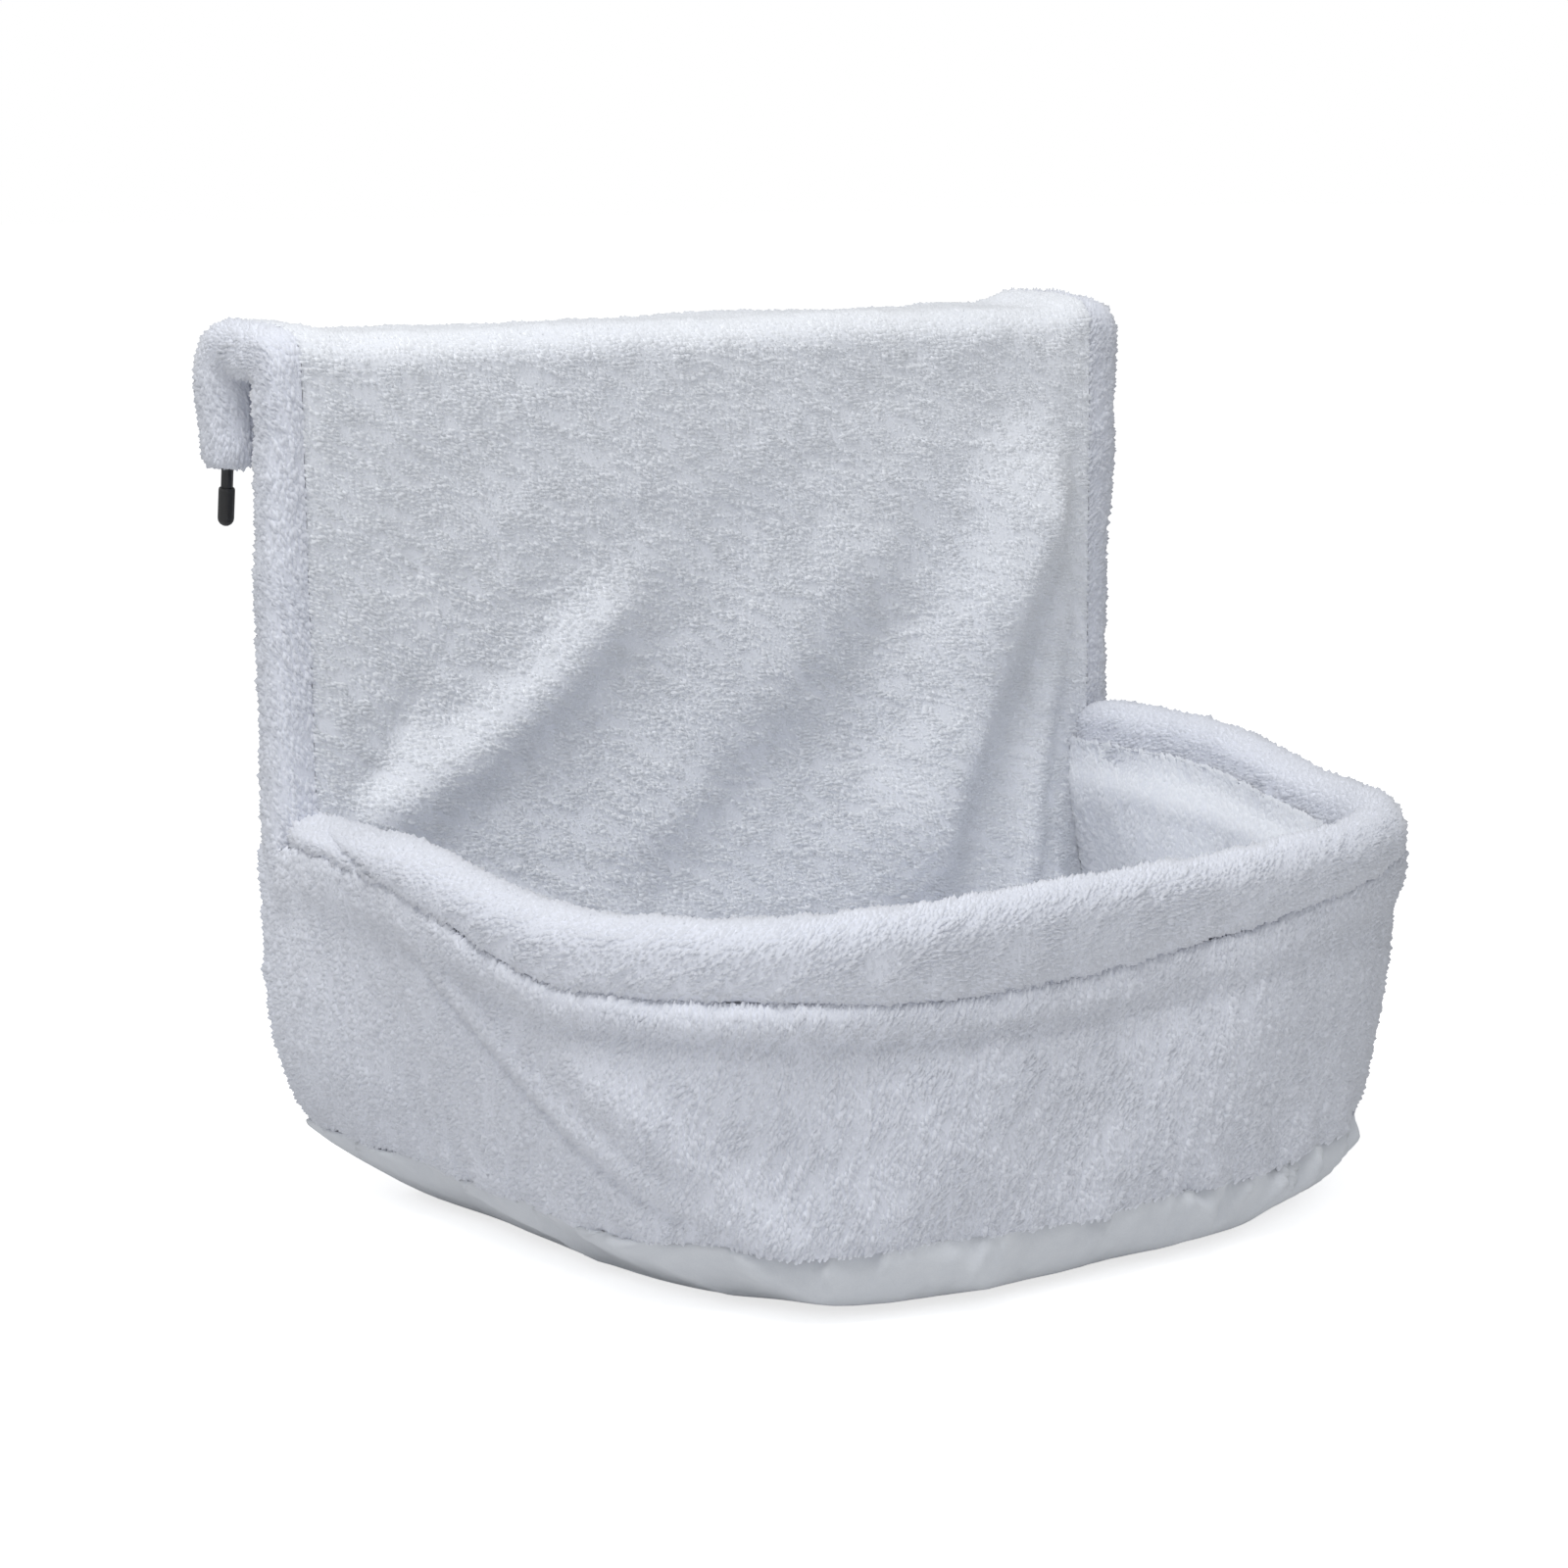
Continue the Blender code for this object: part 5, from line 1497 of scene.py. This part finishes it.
@dataclass
class Walls:
    """The outer wall, which wraps the frame's foot, and the inner wall."""

    wardrobe: Wardrobe
    rows: int = 47
    columns: int = 301
    length: float = 0.90
    height: float = 0.15
    crease: float = 0.004
    waves: int = 7
    overlap: float = 0.0014
    shoulder: float = 0.0038
    inner_rise: float = 0.0110
    inner_swell: float = 0.0140
    inner_side_swell: float = 0.0024
    inner_padding: float = 0.35

    def outer_face(self, drop: Optional[float] = None) -> Array:
        """Points of the outer wall's face, from the seam up to the rim, from the left to the right rear.

        Args:
            drop: how far below the hoop it ends; without it, where the roll is sewn to it.

        Returns:
            The points, in rows and columns.
        """
        top, seam = BED.wall_plans(self.columns)
        x, y = top.T
        down = np.linspace(1.0, 0.0, self.rows)[:, None]
        share = BED.wall_share(down, y[None, :])[..., None]
        out = BED.outward(top)[None] * (1 - share) + BED.outward(seam)[None] * share
        along = np.linspace(0.0, 1.0, self.columns)[None, :]
        swell = self.crease * self.creases(along, down) + self.gathers(along, down)
        drops = BED.joint_drop(x, y) - self.overlap if drop is None else drop
        high = (BED.rim_height(x, y) - drops)[None, :]
        level = top[None] * (1 - share) + seam[None] * share + out * swell[..., None]
        corner = BED.corner_draw * BED.front_corner(level[..., 0], level[..., 1])
        level = level - out * (corner * down)[..., None]
        wave = BED.seam_wave(level[..., 0], level[..., 1])
        foot = BED.seam_z + (corner + wave) * smooth(0.55, 1.0, down)
        return np.concatenate([level, (high + (foot - high) * down)[..., None]], axis=-1)

    def creases(self, along: Array, down: Array) -> Array:
        """Swell of the wall between its slack places, as in its solid, as shares of the crease's height.

        Args:
            along: share of the way round, from the left rear.
            down: share of the way down.

        Returns:
            The share at each place.
        """
        wave = 1 + np.cos(2 * math.pi * (self.waves * along + 0.35 * down))
        left_fold = bell(along - 0.20 - 0.12 * down, 0.022) * smooth(0.1, 0.5, down)
        ends = smooth(0.0, 0.08, np.minimum(along, 1 - along))
        return (np.sin(math.pi * down) * wave / 2 + left_fold) * ends

    def gathers(self, along: Array, down: Array) -> Array:
        """Height of the gathers under the rim, the shoulder below them and the puckers over the base seam.

        Args:
            along: share of the way round, from the left rear.
            down: share of the way down.

        Returns:
            The height out of the wall, in metres.
        """
        run, up = along * self.length, 1 - down
        low, high = down * self.height, up * self.height
        pucker = 0.0017 * Ripple(71).at(run, high, 0.012, 0.08) * bell(high, 0.024)
        gather = 0.0008 * Ripple(72).at(run, high, 0.012, 0.08) * bell(low, 0.024)
        valley = -0.0008 * bell(up * 0.13, 0.0045)
        at_left = bell(along - 0.31, 0.13)
        beside = smooth(0.0, 0.06, np.minimum(along, 1 - along))
        tuck = self.shoulder * smooth(-0.0035, 0.0030, low) * smooth(0.036 - 0.010 * at_left, 0.014, low)
        tuck = tuck * (0.20 + 0.80 * beside)
        tuck = tuck + 0.0022 * at_left * smooth(0.0, 0.008, low) * smooth(0.026, 0.016, low)
        place = along - 0.09 - 0.20 * down
        fold = 0.0026 * bell(place - 0.018, 0.013) - 0.0022 * bell(place, 0.0065)
        fold = fold * smooth(0.08, 0.30, down) * smooth(1.0, 0.82, down)
        broad = 0.0008 * Ripple(73).at(run, high, 0.050, 0.050, 40.0) * smooth(0.0, 0.2, np.minimum(up, down))
        return pucker + gather + valley + tuck + fold + broad

    def inset(self, face: Array, distance: Union[float, Array]) -> Array:
        """A face moved in by a distance, or by one for each point, square to itself but level by level.

        Args:
            face: the points, in rows and columns.
            distance: the distance, in metres.

        Returns:
            The moved points.
        """
        normal = unit(np.cross(np.gradient(face, axis=1), np.gradient(face, axis=0)))
        level = normal[:, :, :2] / (normal[:, :, :2] ** 2).sum(axis=2)[:, :, None]
        moved = face.copy()
        moved[:, :, :2] -= level * np.broadcast_to(distance, face.shape[:2])[..., None]
        return moved

    def inner_shape(self) -> Cloth:
        """The inner wall, which is fuller towards the rim and the cover and rises into the roll."""
        face = self.outer_face(BED.wall_top_drop - self.inner_rise)
        beside = smooth(0.080, 0.016, BED.front_y - face[..., 1])
        towards_rim = smooth(0.20, 0.88, np.linspace(0.0, 1.0, self.rows))[:, None]
        swell = (self.inner_swell + self.inner_side_swell * beside) * towards_rim + 0.0012
        gap = BED.wall_layer + BED.clearance
        in_front = face[0, :, 1] < BED.front_y
        inner_face = self.inset(face, gap + BED.wall_layer + swell)[:-1][:, in_front]
        inner_back = self.inset(face, gap + self.inner_padding * swell)[:-1][:, in_front]
        inner_face[:, (0, -1), 1] = inner_back[:, (0, -1), 1] = BED.front_y - BED.clearance
        return Cloth(inner_face, inner_back)

    def make(self) -> None:
        """Sews and dresses both walls."""
        face = self.outer_face()
        outer = Plush(self.wardrobe, Pile(81, ridge_turn=70.0), Ride.FRAME, ["outer_wall"])
        outer.make_sheet("basket_outer_wall", Cloth(face, self.inset(face, BED.wall_layer)))
        pile = Pile(91, ridge_turn=70.0, width=0.0026, height=0.0010, roundness=0.5, hair_spacing=0.0045)
        # The inner wall wears the paler plush copies: painted light inside the shaded basket.
        inner = Plush(self.wardrobe, pile, Ride.FRAME, ["inner_wall"], painted_light=True)
        inner.make_sheet("basket_inner_wall", self.inner_shape())


@dataclass
class Base:
    """The sagging base cloth and the plush pad that lies in it on its board."""

    wardrobe: Wardrobe
    crown: float = 0.007
    pad_share: float = 0.83
    flat_share: float = 0.84
    fullness: float = 1.1
    side_slack: float = 0.8
    tuck_up: float = 0.0010
    tuck_in: float = 0.0030
    pucker: float = 0.0075
    slack: float = 0.0085

    def level(self, ring: Array, share: Union[float, Array], z: Union[float, Array]) -> Array:
        """The seam's ring drawn in to a share of its size, or to one for each of its points, at a height."""
        centre = np.array([0.0, (ring[:, 1].min() + ring[:, 1].max()) / 2])
        flat = centre + (ring - centre) * np.reshape(share, (-1, 1))
        return np.concatenate([flat, np.broadcast_to(np.reshape(z, (-1, 1)), (len(ring), 1))], axis=1)

    def puckers(self, run: Array, turn: float) -> Array:
        """How far the cloth stands out round its ring, for a turn from the seam, 0, to the flat middle, 1.

        Args:
            run: how far round the ring each of its points lies.
            turn: the share of the bulge's turn.

        Returns:
            The distance out of the cloth at each point, in metres.
        """
        far = BED.base_bulge * turn * 1.4
        down = run * 0 + far
        wander = 0.006 * Ripple(103).at(run, down, 0.030, 0.020)
        fine = 0.5 - np.abs(Ripple(101).at(run + 0.6 * far + wander, down, 0.011, 0.045))
        broad = 0.5 - np.abs(Ripple(102).at(run - 0.8 * far + wander, down, 0.042, 0.040))
        near_seam = self.pucker * fine * bell(far, 0.020) - self.tuck_in * bell(far, 0.006)
        return near_seam + self.slack * broad * math.sin(turn * math.pi) ** 0.8

    def shape(self) -> Cloth:
        """The base cloth, which bulges from its seam and lies flat in the middle."""
        ring = BED.seam_ring(361)
        run = running(steps(ring))
        away = unit(ring - np.array([0.0, (ring[:, 1].min() + ring[:, 1].max()) / 2]))
        corner = BED.corner_draw * BED.front_corner(ring[:, 0], ring[:, 1])
        wave = corner + BED.seam_wave(ring[:, 0], ring[:, 1])
        fullness = self.fullness + self.side_slack * smooth(0.15, 0.205, np.abs(ring[:, 0]))
        turns = np.concatenate([np.linspace(0.0, 1.0, 26), np.full(9, 1.0)])
        inwards = np.concatenate([np.zeros(26), np.linspace(0.12, 0.985, 9)])
        face, back = [], []
        for turn, inward in zip(turns, inwards):
            angle = turn * math.pi / 2
            share = (self.flat_share + (1 - self.flat_share) * math.cos(angle) ** fullness) * (1 - inward)
            drop = BED.base_bulge * math.sin(angle) ** fullness
            fade = math.cos(angle) ** 1.5 if turn < 1.0 else 0.0
            top = BED.seam_z + (self.tuck_up + wave) * fade
            out = away * (self.puckers(run, turn) - corner * fade)[:, None]
            inner = share - BED.base_cloth / BED.seam_half_width * (1 - inward)
            lift = 1 - BED.base_cloth / BED.base_bulge
            for rows, width, z in ((face, share, top - drop), (back, inner, top - drop * lift)):
                row = self.level(ring, width, z)
                row[:, :2] += out
                rows.append(row)
        return Cloth(np.array(face), np.array(back), wraps=True, closes=True)

    def make_cloth(self) -> None:
        """Sews and dresses the base cloth, with puckers along its seam."""
        cloth = self.shape()
        piece = cloth.sew("sagging_base")
        wear(piece, self.wardrobe["base"], Ride.FRAME)
        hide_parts("base_cloth")
        LOG.info("sagging_base: %d x %d points", *cloth.face.shape[:2])

    def make_pad(self) -> None:
        """Sews and dresses the floor pad: crowned, with drawn-in edges."""
        low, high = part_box("floor_pad")
        ring = BED.seam_ring(221)
        edge, share = high.z - self.crown, self.pad_share
        profile = [(0.02, low.z), (share, low.z)]
        for turn in np.linspace(0.2, math.pi, 8):
            height = low.z + (edge - low.z) * (1 - math.cos(turn)) / 2
            profile.append((share + 0.055 * math.sin(turn), height))
        crown = [(0.82 * s, edge + self.crown * (1 - s**2.6)) for s in np.linspace(0.985, 0.02, 30)]
        rings = np.array([self.level(ring, width, z) for width, z in profile + crown])
        uneven = 0.0012 * Ripple(111).at(rings[..., 0], rings[..., 1], 0.05, 0.05)
        rings[..., 2] += uneven * (rings[..., 2] > edge)
        piece = ring_object("plush_floor_pad", rings)
        top = rings[len(profile) - 3 :]
        pile = Pile(121, spacing=0.0025, length=0.0042, width=0.0030, hair_spacing=0.0)
        plush = Plush(self.wardrobe, pile, Ride.FRAME, ["floor_pad"])
        plush.dress(piece, Cloth(top, top - np.array([0.0, 0.0, 0.001]), wraps=True))

    def make(self) -> None:
        """Makes both pieces."""
        self.make_cloth()
        self.make_pad()


# Zip, frame and hooks


def blocks(boxes: Array) -> tuple[Array, Array]:
    """Points and triangles of small blocks.

    Args:
        boxes: the low and the high corner of each block, six numbers a row.

    Returns:
        The points, and the point numbers of each triangle.
    """
    corner = np.array([(i, j, k) for i in (0, 1) for j in (0, 1) for k in (0, 1)])
    low, high = boxes[:, None, :3], boxes[:, None, 3:]
    points = low + (high - low) * corner[None]
    sides = [(0, 1, 3, 2), (4, 6, 7, 5), (0, 4, 5, 1), (2, 3, 7, 6), (0, 2, 6, 4), (1, 5, 7, 3)]
    one = np.array([t for a, b, c, d in sides for t in ((a, b, c), (a, c, d))])
    triangles = (one[None] + 8 * np.arange(len(boxes))[:, None, None]).reshape(-1, 3)
    return points.reshape(-1, 3), triangles


@dataclass
class Zip:
    """The zip's teeth, and the thread that holds its tape."""

    wardrobe: Wardrobe
    pitch: float = 0.0013
    tooth_width: float = 0.00085
    tooth_overlap: float = 0.0009
    core_half_width: float = 0.0016
    core_thickness: float = 0.0005
    stitch_pitch: float = 0.0042
    stitch_length: float = 0.0030
    stitch_width: float = 0.0006
    stitch_inset: float = 0.002

    def teeth(self) -> Array:
        """The blocks of the teeth, in turn from above and below, and of the core that they stand on."""
        low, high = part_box("zip_chain")
        middle = (low.z + high.z) / 2
        x = np.arange(low.x + self.pitch / 2, high.x - self.tooth_width, self.pitch)
        above = np.arange(len(x)) % 2 == 0
        foot = np.where(above, middle - self.tooth_overlap, low.z)
        top = np.where(above, high.z, middle + self.tooth_overlap)
        teeth = np.stack([x, x * 0 + low.y + 0.0001, foot, x + self.tooth_width, x * 0 + high.y, top], axis=1)
        foot, top = middle - self.core_half_width, middle + self.core_half_width
        return np.vstack([teeth, [low.x, low.y, foot, high.x, low.y + self.core_thickness, top]])

    def stitches(self) -> Array:
        """The blocks of the thread along both edges of the tape."""
        low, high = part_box("zip_tape")
        rows = [low.z + self.stitch_inset, high.z - self.stitch_inset]
        start = [0.0, high.y - 0.0002, -self.stitch_width / 2]
        end = [self.stitch_length, high.y + 0.00035, self.stitch_width / 2]
        x = np.arange(low.x + 0.004, high.x - 0.006, self.stitch_pitch)
        places = np.array([(at, 0.0, z) for z in rows for at in x])
        return np.concatenate([places + start, places + end], axis=1)

    def make(self) -> None:
        """Makes both pieces."""
        teeth, stitches = self.teeth(), self.stitches()
        piece = mesh_object("zip_teeth", *blocks(teeth), sharp=True)
        wear(piece, self.wardrobe["plastic"], Ride.FRAME)
        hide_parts("zip_chain")
        piece = mesh_object("zip_stitches", *blocks(stitches), sharp=True)
        wear(piece, self.wardrobe["thread"], Ride.FRAME)
        LOG.info("zip_teeth: %d blocks, zip_stitches: %d", len(teeth), len(stitches))


@dataclass
class Hardware:
    """The steel, plastic, board and zip parts, which keep their solids."""

    wardrobe: Wardrobe

    def make(self) -> None:
        """Gives each of them its finish."""
        slots = {"black_coated_steel": "steel", "black_plastic": "plastic", "grey_board": "board"}
        slots["zip_tape_cloth"] = "tape"
        for part in frame["record"]["subparts"]:
            if part["material_slot"] not in slots:
                continue
            finish = self.wardrobe[slots[part["material_slot"]]]
            mesh = frame["nodes"][part["node"]].data
            if not mesh.materials:
                mesh.materials.append(finish)
            for index in range(len(mesh.materials)):
                mesh.materials[index] = finish
            LOG.info("%s: %s", part["node"], finish.name)


# Studio


@dataclass(frozen=True)
class Lamp:
    """A plain square lamp that looks at the bed."""

    name: str
    place: tuple[float, float, float]
    size: float
    power: float

    def light(self, target: Vector) -> None:
        """Puts the lamp in the scene.

        Args:
            target: the point that it looks at.
        """
        data = bpy.data.lights.new(self.name, "AREA")
        data.energy = self.power
        data.size = self.size
        lamp = linked(self.name, data)
        lamp.location = self.place
        lamp.rotation_euler = (target - Vector(self.place)).to_track_quat("-Z", "Y").to_euler()


@dataclass(frozen=True)
class Studio:
    """Camera, lamps, floor and world."""

    eye: tuple[float, float, float] = (-0.90128, -1.29948, 0.08609)
    yaw: float = 36.368
    pitch: float = 10.433
    roll: float = -0.468
    lens: float = 76.19
    target: tuple[float, float, float] = (0.0, -0.15, -0.17)
    floor_z: float = -0.3645
    floor_half_size: float = 30.0
    world_light: float = 0.50
    floor_glow: float = 0.70
    lamps: tuple[Lamp, ...] = (
        Lamp("key_lamp", (-0.85, -0.62, 1.80), 1.1, 27.0),
        Lamp("front_lamp", (-1.4, -2.2, 0.7), 1.6, 3.0),
    )

    def make(self) -> None:
        """Sets the whole studio."""
        self.camera()
        for lamp in self.lamps:
            lamp.light(Vector(self.target))
        self.floor()
        self.world()
        bpy.context.scene.view_settings.view_transform = "Standard"

    def camera(self) -> None:
        """The camera, at the photograph's angle."""
        yaw, pitch, roll = (math.radians(a) for a in (self.yaw, self.pitch, self.roll))
        ahead = Vector((math.sin(yaw) * math.cos(pitch), math.cos(yaw) * math.cos(pitch), -math.sin(pitch)))
        right = Vector((math.cos(yaw), -math.sin(yaw), 0.0))
        up = right.cross(ahead)
        across = math.cos(roll) * right + math.sin(roll) * up
        above = math.cos(roll) * up - math.sin(roll) * right
        data = bpy.data.cameras.new("camera")
        data.lens = self.lens
        data.sensor_width = 36.0
        data.clip_start = 0.01
        camera = linked("camera", data)
        turned = Matrix((across, above, -ahead)).transposed().to_4x4()
        camera.matrix_world = Matrix.Translation(self.eye) @ turned
        bpy.context.scene.camera = camera

    def floor(self) -> None:
        """The pale floor, which keeps the bed's shadow."""
        corners = [(-1, -1), (1, -1), (1, 1), (-1, 1)]
        size = self.floor_half_size
        points = np.array([(x * size, y * size, self.floor_z) for x, y in corners])
        floor = mesh_object("studio_floor", points, [(0, 1, 2, 3)], sharp=True)
        made = bpy.data.materials.new("studio_floor")
        made.use_nodes = True
        made.node_tree.nodes.clear()
        wiring = Wiring(made.node_tree)
        matt = wiring.node("BsdfDiffuse", {"Color": (0.80, 0.80, 0.80, 1.0)})
        glow = wiring.math("MULTIPLY", wiring.node("LightPath").outputs["Is Camera Ray"], self.floor_glow)
        white = wiring.node("Emission", {"Color": (1.0, 1.0, 1.0, 1.0), "Strength": glow})
        both = wiring.node("AddShader", {0: matt.outputs[0], 1: white.outputs[0]})
        wiring.node("OutputMaterial", {"Surface": both.outputs[0]})
        floor.data.materials.append(made)

    def world(self) -> None:
        """An even pale world, which is white where the camera, a gloss or clear plastic sees it."""
        world = bpy.data.worlds.new("studio_world")
        world.use_nodes = True
        world.node_tree.nodes.clear()
        wiring = Wiring(world.node_tree)
        ray = wiring.node("LightPath").outputs
        seen = wiring.math("MAXIMUM", ray["Is Camera Ray"], ray["Is Glossy Ray"])
        seen = wiring.math("MAXIMUM", seen, ray["Is Transmission Ray"])
        light = wiring.node("Background", {"Color": (0.96, 0.98, 1.0, 1.0), "Strength": self.world_light})
        white = wiring.node("Background", {"Color": (1.0, 1.0, 1.0, 1.0), "Strength": 1.0})
        mixed = wiring.node("MixShader", {0: seen, 1: light.outputs[0], 2: white.outputs[0]})
        wiring.node("OutputWorld", {"Surface": mixed.outputs[0]})
        bpy.context.scene.world = world


def main() -> None:
    """Builds the studio and the bed's pieces in order."""
    logging.basicConfig(level=logging.INFO, format="%(message)s")
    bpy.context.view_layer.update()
    effects = Effects()
    wardrobe = {name: finish.material(effects) for name, finish in FINISHES.items()}
    Studio().make()
    left_puffs = ((-0.21, 0.0065), (-0.03, 0.0038), (0.0, 0.0026))
    right_puffs = ((-0.21, 0.0035), (-0.09, 0.0050), (-0.06, 0.0095), (0.0, 0.0090))
    pieces = [
        BackCover(wardrobe),
        RearPanel(wardrobe),
        FlapLining(wardrobe),
        Gusset(wardrobe, "left", -1, left_puffs, 0.0020),
        Gusset(wardrobe, "right", 1, right_puffs, 0.0028),
        RimRoll(wardrobe),
        Walls(wardrobe),
        Base(wardrobe),
        Zip(wardrobe),
        Hardware(wardrobe),
    ]
    for piece in pieces:
        piece.make()
        LOG.info("%s is made", type(piece).__name__)


if __name__ == "__main__":
    main()
